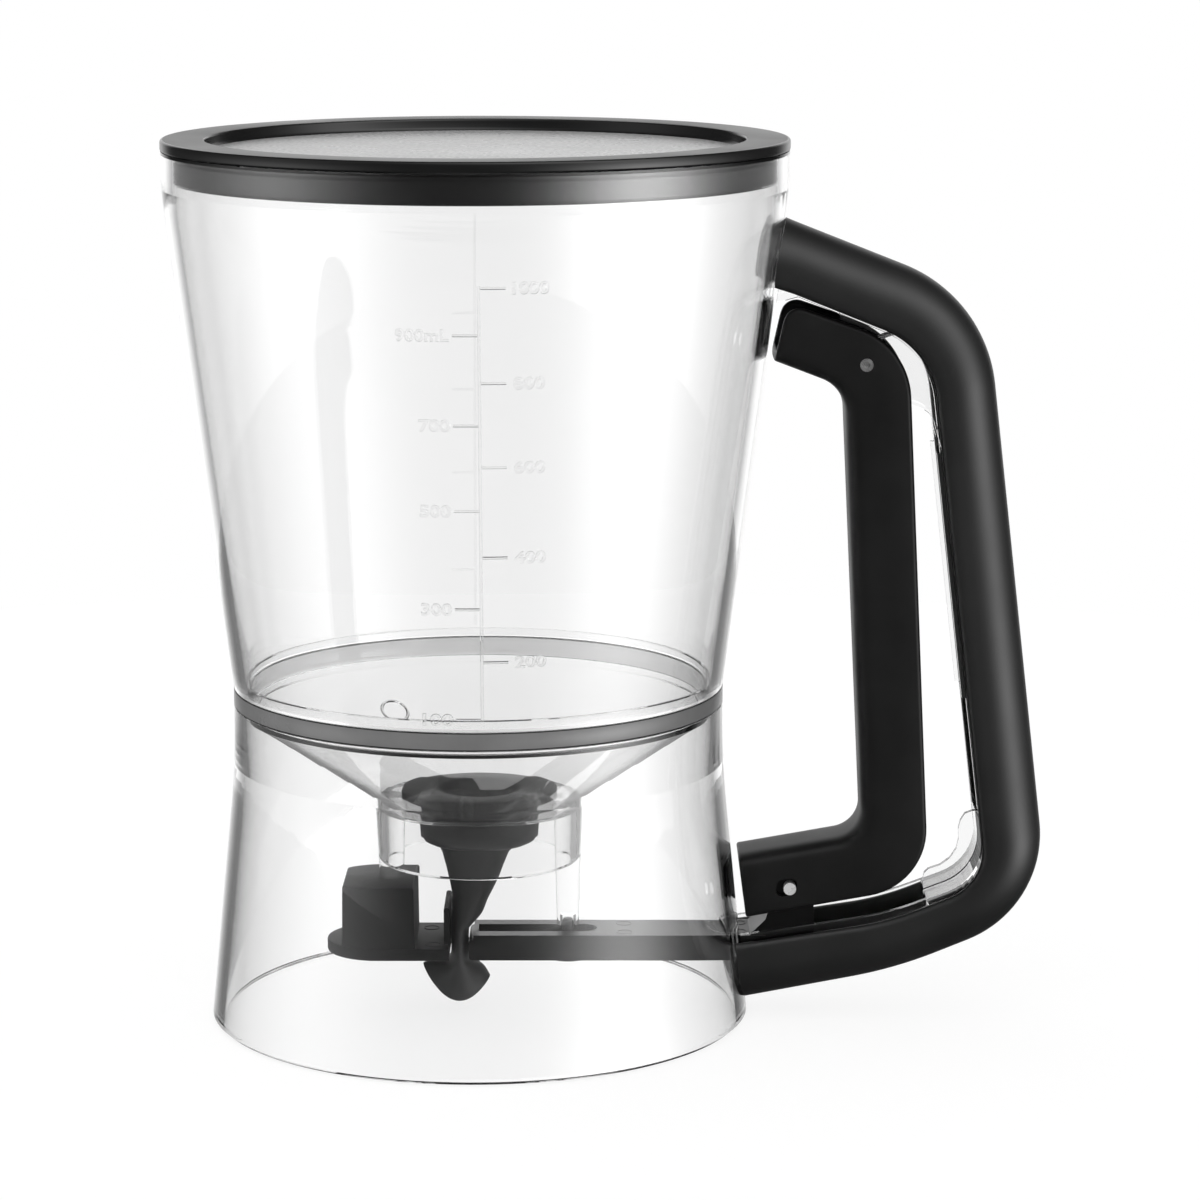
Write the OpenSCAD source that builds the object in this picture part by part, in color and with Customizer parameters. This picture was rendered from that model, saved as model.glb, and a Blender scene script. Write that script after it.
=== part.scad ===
// Pancake batter dispenser: a clear hourglass jug with a lift-off lid, a silicone
// outlet that a sliding bar pinches shut, and a squeeze trigger in a C-shaped handle.
// Frame: origin on the jug's axis at the level it stands on, +X to the handle, +Z up.

/* [Jug] */
// Height of the clear skirt that the dispenser stands on
skirt_h = 68.9; // [60:0.1:80]
// Height of the grey ring between skirt and hopper
waist_ring_h = 4.1; // [3:0.1:6]
// Height of the hopper above the ring
hopper_h = 114.6; // [100:0.1:130]
// Outer radius at the waist
waist_r = 52.7; // [48:0.1:56]
// Outer radius at the mouth
mouth_r = 66.3; // [62:0.1:70]
// Outer radius at the foot
foot_r = 58.3; // [56:0.1:62]
// Thickness of the clear walls
wall = 2.5; // [2:0.1:3]
// Height of the upright band below the mouth
mouth_band_h = 8.1; // [6:0.1:14]
// Height where the skirt begins to flare
flare_z = 56; // [48:0.5:60]

/* [Lid] */
// Thickness of the lid's flange
lid_flange_h = 2.3; // [1.8:0.1:3.5]
// Depth of the recess in the lid's top
lid_recess = 2.6; // [1.5:0.1:4]
// Width of the lid's flat rim
lid_rim_w = 9.3; // [8.5:0.1:14]
// Depth that the lid's plug reaches into the hopper
plug_h = 7.3; // [6:0.1:12]
// Thickness of the lid's walls
lid_wall = 1.8; // [1.2:0.1:2.4]
// Height of the seal round the plug
seal_h = 4.9; // [3:0.1:5]
// Radial thickness of the seal
seal_t = 1.3; // [0.8:0.1:2]

/* [Funnel] */
// Depth of the outlet floor below the skirt's top
outlet_drop = 22.4; // [18:0.1:26]
// Radius of the outlet hole
outlet_r = 10.2; // [8:0.1:12]
// Thickness of the outlet floor
outlet_t = 2.2; // [1.6:0.1:3]
// Outer radius of the collar round the outlet
collar_r = 21.7; // [20:0.1:24]
// Length of the collar below the outlet floor
collar_h = 10.2; // [6:0.1:14]
// Thickness of the collar
collar_t = 1.8; // [1.2:0.1:2.5]
// Radius of a post at the collar
post_r = 3.1; // [2.6:0.1:3.6]
// Radius of a post at its lower end
post_tip_r = 2.2; // [2:0.05:2.5]

/* [Nozzle] */
// Radius of the nozzle's upper flange
nozzle_flange_r = 18.2; // [16:0.1:19]
// Distance of the flange's two flats from the axis
nozzle_flat = 17.2; // [14:0.1:18]
// Thickness of the upper flange
nozzle_flange_t = 2.3; // [1.5:0.1:3]
// Radius of the lower flange that holds the nozzle in the outlet
nozzle_keeper_r = 13; // [12:0.1:15]
// Thickness of the lower flange
nozzle_keeper_t = 3; // [2:0.1:4]
// Radius of the bore at the top
nozzle_bore_r = 9.3; // [6:0.1:9.5]
// Thickness of the pinched neck between the jaws
neck_t = 4; // [3:0.1:5]
// Width of the pinched neck
neck_w = 14.6; // [12:0.1:16]
// Wall of the silicone
nozzle_wall = 1.8; // [1.4:0.1:1.9]
// Half width of the flared tip
tip_r = 7.3; // [6:0.1:9]
// Height of the tip's lowest point above the table
tip_z = 1.8; // [1:0.1:4]

/* [Valve] */
// Height of the slide bar's underside
bar_z = 12.4; // [10:0.1:14]
// Height of the slide bar
bar_h = 5.6; // [4:0.1:7]
// Width of the slide bar
bar_w = 13.3; // [11:0.1:14]
// Place of the moving jaw's face on X
jaw_x = -2.3; // [-4:0.1:0]
// Length of the bar's slot
slot_l = 25.8; // [18:0.1:30]
// Width of the bar's slot
slot_w = 6; // [5.2:0.1:7]
// How far the bar is pulled to open the nozzle
travel = 10; // [6:0.1:12]
// Width of the fixed jaw's plate
plate_w = 22.8; // [18:0.1:26]
// Thickness of the plate
plate_t = 2.7; // [2:0.1:4]
// Length of the plate from its jaw to its round end
plate_l = 26.9; // [24:0.1:32]
// Height of the hollow block on the plate
block_h = 14.8; // [10:0.1:18]
// Height of the fixed jaw above the plate
jaw_h = 8.2; // [4:0.1:12]

/* [Trigger] */
// Trigger width
trigger_w = 18; // [15:0.1:18.4]
// Trigger wall thickness
trigger_t = 2; // [1.5:0.1:2.2]
// Gap between the trigger's ends and the jug
trigger_gap = 1.3; // [1:0.1:3]
// Depth of the rounding of the trigger's back
trigger_round = 4.2; // [3:0.1:5]
// Distance of the pivot outside the mouth's radius
pivot_out = 16.2; // [14:0.1:18]
// Drop of the pivot below the rim
pivot_drop = 44.95; // [42:0.05:48]
// Distance of the link pin outside the foot's radius
link_out = 8.9; // [7:0.1:10]
// Height of the link pin above the slide bar
link_rise = 10.8; // [9:0.1:13]
// Radius of the pivot pin
pivot_r = 1.4; // [1.2:0.05:1.8]
// Radius of the link pin
link_r = 1.35; // [1.1:0.05:1.6]
// Running clearance of the pins, on the radius
pin_fit = 0.05; // [0.02:0.01:0.1]
// Wire radius of the return spring
wire_r = 0.6; // [0.4:0.05:0.7]
// Coils of the return spring
coils = 3; // [2:1:4]

/* [Handle] */
// Width of the handle cover
cover_w = 24; // [20:0.1:28]
// Thickness of the cover's side walls
cover_t = 2.4; // [1.8:0.1:2.6]
// Thickness of the cover's back
cover_back = 2.6; // [2:0.1:3]
// Depth of the rounding of the cover's back
cover_round = 9.6; // [7:0.1:10.5]
// Thickness of the clear frame inside the cover
frame_t = 1.6; // [1.2:0.1:2]

/* [Hidden] */
$fn = 96;

seat = 0.05;                       // gap where one piece is seated on another
slip = 0.25;                       // gap round a piece that lifts or slides
eps = 0.01;
plate_rise = 1.1;                  // the block's underside above the bar's underside
hub_r = 3.1;                       // the frame's hub that the spring is wound on

waist_z = skirt_h + waist_ring_h;  // hopper's lower edge
rim_z = waist_z + hopper_h;        // hopper's rim
outlet_z = skirt_h - outlet_drop;  // top of the outlet floor
top = [mouth_r, rim_z];            // anchor of the handle's upper end
foot = [foot_r, 0];                // anchor of the handle's lower end

// ---------------------------------------------------------------- outlines
function unit(v) = v / norm(v);

// Arc of radius r that rounds the corner q between p and s, as n + 1 points
function arc_at(p, q, s, r, n) =
    let (u = unit(p - q), w = unit(s - q), half = acos(u * w) / 2,
         c = q + unit(u + w) * (r / sin(half)),
         a = q + u * (r / tan(half)) - c, b = q + w * (r / tan(half)) - c,
         a0 = atan2(a.y, a.x), turn = (atan2(b.y, b.x) - a0 + 540) % 360 - 180)
    [for (i = [0:n]) c + r * [cos(a0 + turn * i / n), sin(a0 + turn * i / n)]];

// Line through the points v with its inner corners rounded to the radii r
function soft_path(v, r, n) =
    concat([v[0]],
           [for (i = [1:len(v) - 2]) each arc_at(v[i - 1], v[i], v[i + 1], r[i - 1], n[i - 1])],
           [v[len(v) - 1]]);

// The same line moved sideways by d, to the right of its direction
function right_of(a, b) = [unit(b - a).y, -unit(b - a).x];
function moved(v, d) =
    [for (i = [0:len(v) - 1])
        let (m = i > 0 ? right_of(v[i - 1], v[i]) : right_of(v[0], v[1]),
             k = i < len(v) - 1 ? right_of(v[i], v[i + 1]) : m)
        v[i] + (m + k) * d / (1 + m * k)];
function less(r, d) = [for (x = r) x - d];
function reversed(v) = [for (i = [len(v) - 1:-1:0]) v[i]];

// Extrude an XZ outline along Y, w wide, about the plane Y = y
module along_y(w, y = 0) translate([0, y + w / 2, 0]) rotate([90, 0, 0]) linear_extrude(w) children();
// A round bar or hole along Y at the XZ point p
module rod(p, r, w, y = 0) translate([p.x, y, p.y]) rotate([90, 0, 0]) cylinder(r = r, h = w, center = true);

// ---------------------------------------------------------------- jug
// Outside of the hopper and of the skirt, as [radius, height] lines
hopper_line = [[waist_r, waist_z], [mouth_r, rim_z - mouth_band_h], [mouth_r, rim_z]];
skirt_line = [[waist_r, skirt_h], [waist_r, flare_z], [foot_r, 0]];
blend_n = 8;

// Radius r of a blend between two lines that turn by a, no longer than the room beside it
function blend_r(r, a, room) = min(r, 0.9 * room / tan(a / 2));
hopper_curve = blend_r(70, atan((mouth_r - waist_r) / (hopper_h - mouth_band_h)), mouth_band_h);
skirt_curve = blend_r(200, atan((foot_r - waist_r) / flare_z), skirt_h - flare_z);

function hopper_at(z) =
    min(mouth_r, waist_r + (mouth_r - waist_r) * (z - waist_z) / (hopper_h - mouth_band_h));
function skirt_at(z) = z > flare_z ? waist_r : foot_r + (waist_r - foot_r) * z / flare_z;

rim_round = [0.6, 0.8];            // the rim's inner edge is taken off by so much

module hopper() {
    inner = moved(hopper_line, -wall);
    color([0.93, 0.94, 0.95, 0.35])
        rotate_extrude()
            polygon(concat(soft_path(hopper_line, [hopper_curve], [blend_n]),
                           [inner[2] + [rim_round[0], 0], inner[2] - [0, rim_round[1]]],
                           reversed([inner[0], inner[1]])));
}

// The bar leaves the skirt through a window
window_gap = 0.6;
window_w = bar_w + 2 * window_gap;
window_z = [bar_z - window_gap, bar_z + bar_h + window_gap];

module base_skirt() {
    inner = moved(skirt_line, wall);
    foot_edge = 0.7;
    color([0.93, 0.94, 0.95, 0.35])
        difference() {
            rotate_extrude()
                polygon(concat(soft_path([skirt_line[0], skirt_line[1], [foot_r, foot_edge]],
                                         [skirt_curve], [blend_n]),
                               [[foot_r - foot_edge, 0], [foot_r - wall + foot_edge / 2, 0],
                                [foot_r - wall, foot_edge]],
                               [inner[1], [inner[0].x, skirt_h]]));
            translate([waist_r - 2 * wall, -window_w / 2, window_z[0]])
                cube([foot_r - waist_r + 4 * wall, window_w, window_z[1] - window_z[0]]);
        }
}

// The funnel's upper rim stands inside the ring, on the skirt's inner edge
sleeve_r = waist_r - wall + 0.3;
sleeve_top = waist_z + 2.2;
sleeve_fit = 0.1;                  // gap between the funnel's rim and the hopper's inside
function inside_hopper(z) = hopper_at(z) - wall * norm([1, (mouth_r - waist_r) / (hopper_h - mouth_band_h)]);

module waist_ring() {
    color([0.5, 0.5, 0.52])
        rotate_extrude()
            polygon([[sleeve_r + seat, skirt_h + seat], [waist_r - 0.3, skirt_h + seat],
                     [waist_r, skirt_h + 0.4], [waist_r, waist_z - 0.4],
                     [waist_r - 0.3, waist_z - seat], [sleeve_r + seat, waist_z - seat]]);
}

post_x = collar_r - collar_t / 2 - 1.6;
pilot_r = 1.25;                    // screw hole in a post
pilot_h = 9;
block_post_z = bar_z + plate_rise + plate_t + seat;
guide_post_z = bar_z - slip;       // the guide post ends just under the bar

// A tapered post that hangs from the funnel, with its screw hole
module post(x, z) {
    translate([x, 0, z])
        cylinder(r1 = post_tip_r, r2 = post_r, h = outlet_z - outlet_t / 2 - z);
}

sleeve_t = 2.6;                    // thickness of the sleeve inside the ring
funnel_t = 2.4;                    // thickness of the funnel's cone at the skirt

module funnel() {
    ledge_r = waist_r - wall - 0.7;    // the ledge that rests on the skirt reaches in to here
    lip_r = nozzle_flange_r + 1.2;     // radius of the flat round the outlet
    color([0.93, 0.94, 0.95, 0.35])
        difference() {
            union() {
                rotate_extrude()
                    polygon([[outlet_r, outlet_z], [lip_r, outlet_z], [sleeve_r - sleeve_t, skirt_h + 1],
                             [sleeve_r - sleeve_t, waist_z - 1.5],
                             [inside_hopper(sleeve_top) - sleeve_fit - 0.6, sleeve_top],
                             [inside_hopper(sleeve_top) - sleeve_fit, sleeve_top],
                             [inside_hopper(waist_z) - sleeve_fit, waist_z - seat],
                             [sleeve_r, waist_z - seat], [sleeve_r, skirt_h + seat],
                             [ledge_r, skirt_h + seat], [ledge_r, skirt_h - funnel_t],
                             [collar_r, outlet_z - outlet_t + 0.4],
                             [collar_r, outlet_z - collar_h - outlet_t],
                             [collar_r - collar_t, outlet_z - collar_h - outlet_t],
                             [collar_r - collar_t, outlet_z - outlet_t], [outlet_r, outlet_z - outlet_t]]);
                post(-post_x, block_post_z);
                post(post_x, guide_post_z);
            }
            for (p = [[-post_x, block_post_z], [post_x, guide_post_z]])
                translate([p.x, 0, p.y - eps]) cylinder(r = pilot_r, h = pilot_h);
        }
}

// ---------------------------------------------------------------- nozzle
neck_x = jaw_x - neck_t / 2 - seat;
neck_top = bar_z + bar_h + 1.5;
jaw_top = bar_z + plate_rise + plate_t + jaw_h;  // top of the fixed jaw
keeper_z = outlet_z - outlet_t;    // underside of the outlet floor
sides = 36;

// One ring of the nozzle: height, centre on X, radii on X and Y, how far the rim dips
// at its front and back, and how far it leans
function nozzle_ring(z, x, rx, ry, dip = 0, lean = 0, flat = 99) =
    [for (i = [0:sides - 1])
        let (a = 360 * i / sides)
        [x + max(-flat, min(flat, rx * cos(a))), ry * sin(a), z + dip * cos(2 * a) - lean * cos(a)]];

neck_n = neck_t / 2;
nozzle_outside = [
    nozzle_ring(outlet_z + nozzle_flange_t, 0, nozzle_flange_r, nozzle_flange_r, flat = nozzle_flat),
    nozzle_ring(outlet_z + seat, 0, nozzle_flange_r, nozzle_flange_r, flat = nozzle_flat),
    nozzle_ring(outlet_z + seat, 0, outlet_r - seat, outlet_r - seat),
    nozzle_ring(keeper_z - seat, 0, outlet_r - seat, outlet_r - seat),
    nozzle_ring(keeper_z - seat, 0, nozzle_keeper_r, nozzle_keeper_r),
    nozzle_ring(keeper_z - nozzle_keeper_t, 0, nozzle_keeper_r - 0.7, nozzle_keeper_r - 0.7),
    nozzle_ring(keeper_z - nozzle_keeper_t - 0.4, -0.3, outlet_r - 1.4, outlet_r - 1.4),
    nozzle_ring(outlet_z - 12, neck_x * 0.32, 7.4, 7.8),
    nozzle_ring(outlet_z - 17, neck_x * 0.56, 5.9, 7),
    nozzle_ring(jaw_top + 1.8, neck_x * 0.76, 4.1, neck_w / 2 - 0.2),
    nozzle_ring(jaw_top + 0.2, neck_x + 1.3, neck_n + 1.3, neck_w / 2 - 0.1),
    nozzle_ring(neck_top + 2.4, neck_x + 0.5, neck_n + 0.5, neck_w / 2),
    nozzle_ring(neck_top, neck_x, neck_n, neck_w / 2),
    nozzle_ring(bar_z + 0.4, neck_x, neck_n, neck_w / 2),
    nozzle_ring(bar_z - 1.4, neck_x, neck_n + 1, neck_w / 2 - 0.2),
    nozzle_ring(tip_z + 6.6, neck_x - 0.2, neck_n + 3.4, neck_w / 2 - 0.6, dip = 1.7, lean = 0.8),
    nozzle_ring(tip_z + 3.4, neck_x - 0.8, tip_r, tip_r - 0.9, dip = 3.4, lean = 1.4)];
slit = 0.25;                       // half of what stays open in the pinched neck
nozzle_inside = [
    nozzle_ring(tip_z + 3.6, neck_x - 0.8, tip_r - 1.2, tip_r - 2.1, dip = 3.4, lean = 1.4),
    nozzle_ring(tip_z + 6.9, neck_x - 0.2, neck_n + 1.9, neck_w / 2 - nozzle_wall - 0.4,
                dip = 1.7, lean = 0.8),
    nozzle_ring(bar_z - 1.2, neck_x, 0.9, neck_w / 2 - nozzle_wall),
    nozzle_ring(bar_z + 1.2, neck_x, slit, neck_w / 2 - nozzle_wall),
    nozzle_ring(neck_top, neck_x, slit, neck_w / 2 - nozzle_wall),
    nozzle_ring(neck_top + 2.4, neck_x + 0.5, 0.7, neck_w / 2 - nozzle_wall),
    nozzle_ring(jaw_top + 0.2, neck_x + 1.3, 1.5, neck_w / 2 - nozzle_wall - 0.1),
    nozzle_ring(jaw_top + 1.8, neck_x * 0.76, 2.3, neck_w / 2 - nozzle_wall - 0.2),
    nozzle_ring(outlet_z - 17, neck_x * 0.56, 4.1, 7 - nozzle_wall),
    nozzle_ring(outlet_z - 12, neck_x * 0.32, 5.6, 7.8 - nozzle_wall),
    nozzle_ring(outlet_z - 4, 0, 7.2, 7.2),
    nozzle_ring(outlet_z + nozzle_flange_t, 0, nozzle_bore_r, nozzle_bore_r)];

// Closed skin over a list of rings that ends where it began
module skin_round(rings) {
    n = len(rings[0]);
    m = len(rings);
    polyhedron([for (ring = rings) each ring],
               [for (i = [0:m - 1], k = [0:n - 1])
                   let (a = i * n + k, b = i * n + (k + 1) % n,
                        c = (i + 1) % m * n + (k + 1) % n, d = (i + 1) % m * n + k)
                   each [[a, c, b], [a, d, c]]]);
}

module nozzle() color([0.22, 0.22, 0.23]) skin_round(concat(nozzle_outside, nozzle_inside));

// ---------------------------------------------------------------- valve
plate_z = bar_z + plate_rise;
fixed_jaw_x = jaw_x - neck_t - 2 * seat;
jaw_t = 1.2;                       // thickness of the fixed jaw and of its gussets
gusset = [5, 5];                   // the gussets' length on X and their distance from the middle
block_wall = 1.6;
block_inset = 0.4;                 // the block's walls stand so far inside the plate's edge
block_x = [fixed_jaw_x - plate_l + 3.7, fixed_jaw_x - 7.4];
socket_r = post_r + 1.5;

// Plan of the plate: a strip with a round end, set in by d
module plate_plan(d = 0) {
    r = plate_w / 2 - d;
    end = fixed_jaw_x - plate_l + plate_w / 2;
    translate([end, 0]) circle(r);
    translate([end, -r]) square([fixed_jaw_x - end - d, 2 * r]);
}

module pinch_block() {
    z = plate_z + plate_t;
    color([0.13, 0.13, 0.14])
        difference() {
            union() {
                translate([0, 0, plate_z]) linear_extrude(plate_t) plate_plan();
                translate([0, 0, z])
                    linear_extrude(block_h)
                        difference() {
                            intersection() {
                                plate_plan(block_inset);
                                translate([block_x[0], -plate_w])
                                    square([block_x[1] - block_x[0], 2 * plate_w]);
                            }
                            intersection() {
                                plate_plan(block_inset + block_wall);
                                translate([block_x[0] + block_wall, -plate_w])
                                    square([block_x[1] - block_x[0] - 2 * block_wall, 2 * plate_w]);
                            }
                        }
                translate([-post_x, 0, z]) cylinder(r = socket_r, h = block_h + 2);
                // fixed jaw with its two gussets
                translate([fixed_jaw_x - jaw_t, -neck_w / 2 - 0.4, z]) cube([jaw_t, neck_w + 0.8, jaw_h]);
                for (y = [-1, 1])
                    along_y(jaw_t, y * gusset[1])
                        polygon([[fixed_jaw_x - jaw_t, z + jaw_h - 3], [fixed_jaw_x - jaw_t, z],
                                 [fixed_jaw_x - gusset[0], z]]);
            }
            translate([-post_x, 0, z])
                cylinder(r1 = post_tip_r + seat, r2 = post_r + seat, h = outlet_z - outlet_t / 2 - z);
            translate([-post_x, 0, plate_z - 1]) cylinder(r = screw_r + screw_fit, h = plate_t + 2);
        }
}

screw_r = 1.2;
screw_fit = 0.15;                  // gap round a screw's shank
head_r = 2.7;
head_h = 1.6;
drive = [2.8, 0.6, 0.9];           // length, width and depth of the cross in a screw's head

// A cross-headed screw that points up, with its head's top at the height z
module screw(x, z, l) {
    translate([x, 0, z]) {
        cylinder(r = screw_r, h = l);
        difference() {
            translate([0, 0, -head_h]) cylinder(r1 = head_r - 0.5, r2 = head_r, h = head_h);
            for (a = [0, 90])
                rotate([0, 0, a]) translate([-drive[0] / 2, -drive[1] / 2, -head_h - eps]) cube(drive);
        }
    }
}

module block_screw() color([0.7, 0.7, 0.72]) screw(-post_x, plate_z - seat, plate_t + pilot_h - 1);

washer_t = 1;
module guide_washer()
    color([0.75, 0.75, 0.77])
        translate([post_x, 0, guide_post_z - seat - washer_t])
            difference() {
                cylinder(r = slot_w / 2 + 2, h = washer_t);
                translate([0, 0, -1]) cylinder(r = screw_r + screw_fit, h = washer_t + 2);
            }
module guide_screw() color([0.7, 0.7, 0.72])
    screw(post_x, guide_post_z - 2 * seat - washer_t, washer_t + pilot_h - 1);

pivot = top + [pivot_out, -pivot_drop];     // axis of the trigger
link = foot + [link_out, bar_z + bar_h + link_rise];  // axis of the link pin at rest
upright = [-5.1, 5.3];             // the bar's upright end reaches so far from the link pin
foot_x = [link.x + upright[0], link.x + upright[1]];

nose_r = 1;                        // rounding of the moving jaw
ribs = 4;                          // pockets under the bar
rib_t = 1.5;
link_boss_r = 3.3;

module slide_bar() {
    z1 = bar_z + bar_h;
    slot_x = [jaw_x + 2 * nose_r, jaw_x + 2 * nose_r + slot_l];
    bore_r = link_r + 0.02;
    pocket = [slot_x[1] + 3.4, foot_x[0] - 2];
    nose = jaw_x + nose_r;
    color([0.13, 0.13, 0.14])
        difference() {
            union() {
                translate([nose, -bar_w / 2, bar_z]) cube([foot_x[0] - nose + eps, bar_w, bar_h]);
                // rounded nose that presses on the nozzle
                for (z = [bar_z + nose_r, z1 - 2 * nose_r]) rod([nose, z], nose_r, bar_w);
                translate([jaw_x, -bar_w / 2, bar_z + nose_r])
                    cube([nose_r + eps, bar_w, bar_h - 3 * nose_r]);
                along_y(bar_w - 0.5)
                    polygon([[foot_x[0], bar_z], [foot_x[1] - 2, bar_z], [foot_x[1], bar_z + 2],
                             [foot_x[1], link.y - 2], [link.x + 3, link.y], [link.x - 3, link.y],
                             [foot_x[0], z1 + 3.4], [foot_x[0] - 3.4, z1], [foot_x[0] - 3.4, bar_z]]);
                rod(link, link_boss_r, bar_w - 0.5);
            }
            // slot that the guide post stands in
            translate([slot_x[0], -slot_w / 2, bar_z - 1])
                cube([slot_l - slot_w / 2, slot_w, bar_h + 2]);
            translate([slot_x[1] - slot_w / 2, 0, bar_z - 1]) cylinder(r = slot_w / 2, h = bar_h + 2);
            // pockets under the bar
            for (i = [0:ribs - 1])
                translate([pocket[0] + (pocket[1] - pocket[0]) * i / ribs, 2 - bar_w / 2, bar_z - 1])
                    cube([(pocket[1] - pocket[0]) / ribs - rib_t, bar_w - 4, bar_h - 1]);
            rod(link, bore_r, bar_w + 2);
        }
}

pin_l = trigger_w - 0.2;
module link_pin() color([0.8, 0.8, 0.82]) rod(link, link_r, pin_l);
module pivot_pin()
    color([0.55, 0.55, 0.57])
        difference() {
            rod(pivot, pivot_r, pin_l);
            for (y = [-1, 1]) rod(pivot, pivot_r / 2, 3, y * pin_l / 2);
        }

// ---------------------------------------------------------------- U-shaped shells
// Section of a channel at one station: a is on its back, b on its open edge, both in
// the XZ plane. The back is a squared ellipse of power k, round_d deep. Outside and
// inside have as many points, one beside the other.
corner_n = 8;
cover_k = 2.5;
trigger_k = 4;
function channel_side(a, b, w, depth, round_d, k) =
    let (l = norm(b - a), d = unit(b - a),
         half = concat([[l, w]],
                       [for (i = [0:corner_n])
                           let (t = 90 * i / corner_n)
                           [depth + (round_d - depth) * (1 - pow(sin(t), 2 / k)),
                            w * pow(max(cos(t), 0), 2 / k)]]),
         m = len(half) - 1)
    [for (i = [0:2 * m])
        let (p = half[i > m ? 2 * m - i : i])
        [(a + d * p.x).x, i > m ? p.y : -p.y, (a + d * p.x).y]];

// A channel along two lines with equal counts of points: back and edge
module channel(back, edge, w, side_t, back_t, round_d, k, wall_at = []) {
    m = len(back);
    outside = [for (i = [0:m - 1]) channel_side(back[i], edge[i], w / 2, 0, round_d, k)];
    inside = [for (i = [0:m - 1]) channel_side(back[i], edge[i], w / 2 - side_t, back_t, round_d, k)];
    n = len(outside[0]);
    rings = [for (i = [0:m - 1]) concat(outside[i], reversed(inside[i]))];
    fitted = len(wall_at) == 0 ? rings
        : [for (i = [0:m - 1]) i == 0 ? [for (p = rings[0]) on_wall(p, wall_at[0])]
                             : i == m - 1 ? [for (p = rings[i]) on_wall(p, wall_at[1])] : rings[i]];
    q = 2 * n;
    polyhedron([for (ring = fitted) each ring],
               concat([for (i = [0:m - 2], k = [0:q - 1])
                          let (a = i * q + k, b = i * q + (k + 1) % q)
                          each [[a, b, b + q], [a, b + q, a + q]]],
                      [for (k = [0:n - 2])
                          let (a = k, b = k + 1, c = q - 2 - k, d = q - 1 - k)
                          each [[a, c, b], [a, d, c]]],
                      [for (k = [0:n - 2])
                          let (o = (m - 1) * q + k, a = o, b = o + 1,
                               c = m * q - 2 - k, d = m * q - 1 - k)
                          each [[a, b, c], [a, c, d]]]));
}

// Move a point along X onto the jug's wall: side 0 is the hopper, side 1 the skirt
function on_wall(p, side) =
    let (r = (side == 0 ? hopper_at(p.z) : skirt_at(p.z)) + 2 * seat)
    [sqrt(r * r - p.y * p.y), p.y, p.z];

// ---------------------------------------------------------------- trigger
trigger_n = [10, 10];
trigger_back = [[hopper_at(top.y - 44.5) + trigger_gap, top.y - 44.5], top + [11.6, -50.2],
                foot + [24.4, 40.4], [skirt_at(35.7) + trigger_gap, 35.7]];
trigger_edge = [[hopper_at(top.y - 31.8) + trigger_gap + 1.2, top.y - 31.8], top + [25.2, -40.8],
                foot + [38.9, 29.4], [skirt_at(22.4) + trigger_gap + 0.4, 22.4]];
trigger_back_r = [7.7, 6.3];
trigger_edge_r = [16.5, 14.6];

link_play = [-1.6, -0.3];          // play of the link pin in the trigger, towards the jug
pin_play = 0.15;                   // spare length of the pin's hole

// Strip of half width r between two points
module band(a, b, r) {
    n = right_of(a, b) * r;
    polygon([a + n, b + n, b - n, a - n]);
}

module trigger() {
    end = trigger_edge[0];
    along = unit(trigger_edge[1] - end);
    across = unit(trigger_back[0] - end);
    r = 4;
    slack = norm(pivot - link) - norm(pivot - link - [travel, 0]) + pin_play;
    up = unit(pivot - link);
    color([0.11, 0.11, 0.12])
        difference() {
            channel(soft_path(trigger_back, trigger_back_r, trigger_n),
                    soft_path(trigger_edge, trigger_edge_r, trigger_n),
                    trigger_w, trigger_t, trigger_t + 0.2, trigger_round, trigger_k);
            rod(pivot, pivot_r + pin_fit, trigger_w + 2);
            // hole that lets the link pin stay level while the trigger swings, with its play
            for (t = [[0, 0], up * slack, link_play, up * slack + link_play])
                rod(link + t, link_r + pin_fit, trigger_w + 2);
            for (m = [[up * slack, [0, 0], link_play], [link_play, [0, 0], up * slack]])
                for (t = [m[1], m[2]])
                    along_y(trigger_w + 2) band(link + t, link + t + m[0], link_r + pin_fit);
            // rounded upper corner of the side walls
            along_y(trigger_w + 2)
                difference() {
                    polygon([end + (across + along) * -3, end + along * r - across * 3,
                             end + along * r + across * r, end + across * r - along * 3]);
                    translate(end + (along + across) * r) circle(r);
                }
        }
}

// Return spring: coils round the frame's hub, one leg under the frame's back and one
// on the trigger's web. Its least gap to itself is echoed.
coil_r = hub_r + 0.3 + wire_r;
coil_half = 2.9;
first_angle = 110;                 // where the upper leg meets the coil
leg_angle = 197;                   // where the lower leg leaves the coil
ring_n = 8;
stop_r = 1.2;
upper_leg = 12;
lower_leg = 12;

// Point on the tangent of the coil at the angle a, t along it, at the depth y
function leg_point(a, t, y) =
    [pivot.x + coil_r * cos(a) - t * sin(a), y, pivot.y + coil_r * sin(a) + t * cos(a)];

spring_line =
    let (sweep = 360 * coils + leg_angle - first_angle, n = ceil(sweep / 360 * ring_n))
    concat([for (t = [1, 0.5]) leg_point(first_angle, -upper_leg * t, -coil_half)],
           [for (i = [0:n]) leg_point(first_angle + sweep * i / n, 0, coil_half * (2 * i / n - 1))],
           [for (t = [0.5, 1]) leg_point(leg_angle, lower_leg * t, coil_half)]);

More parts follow.
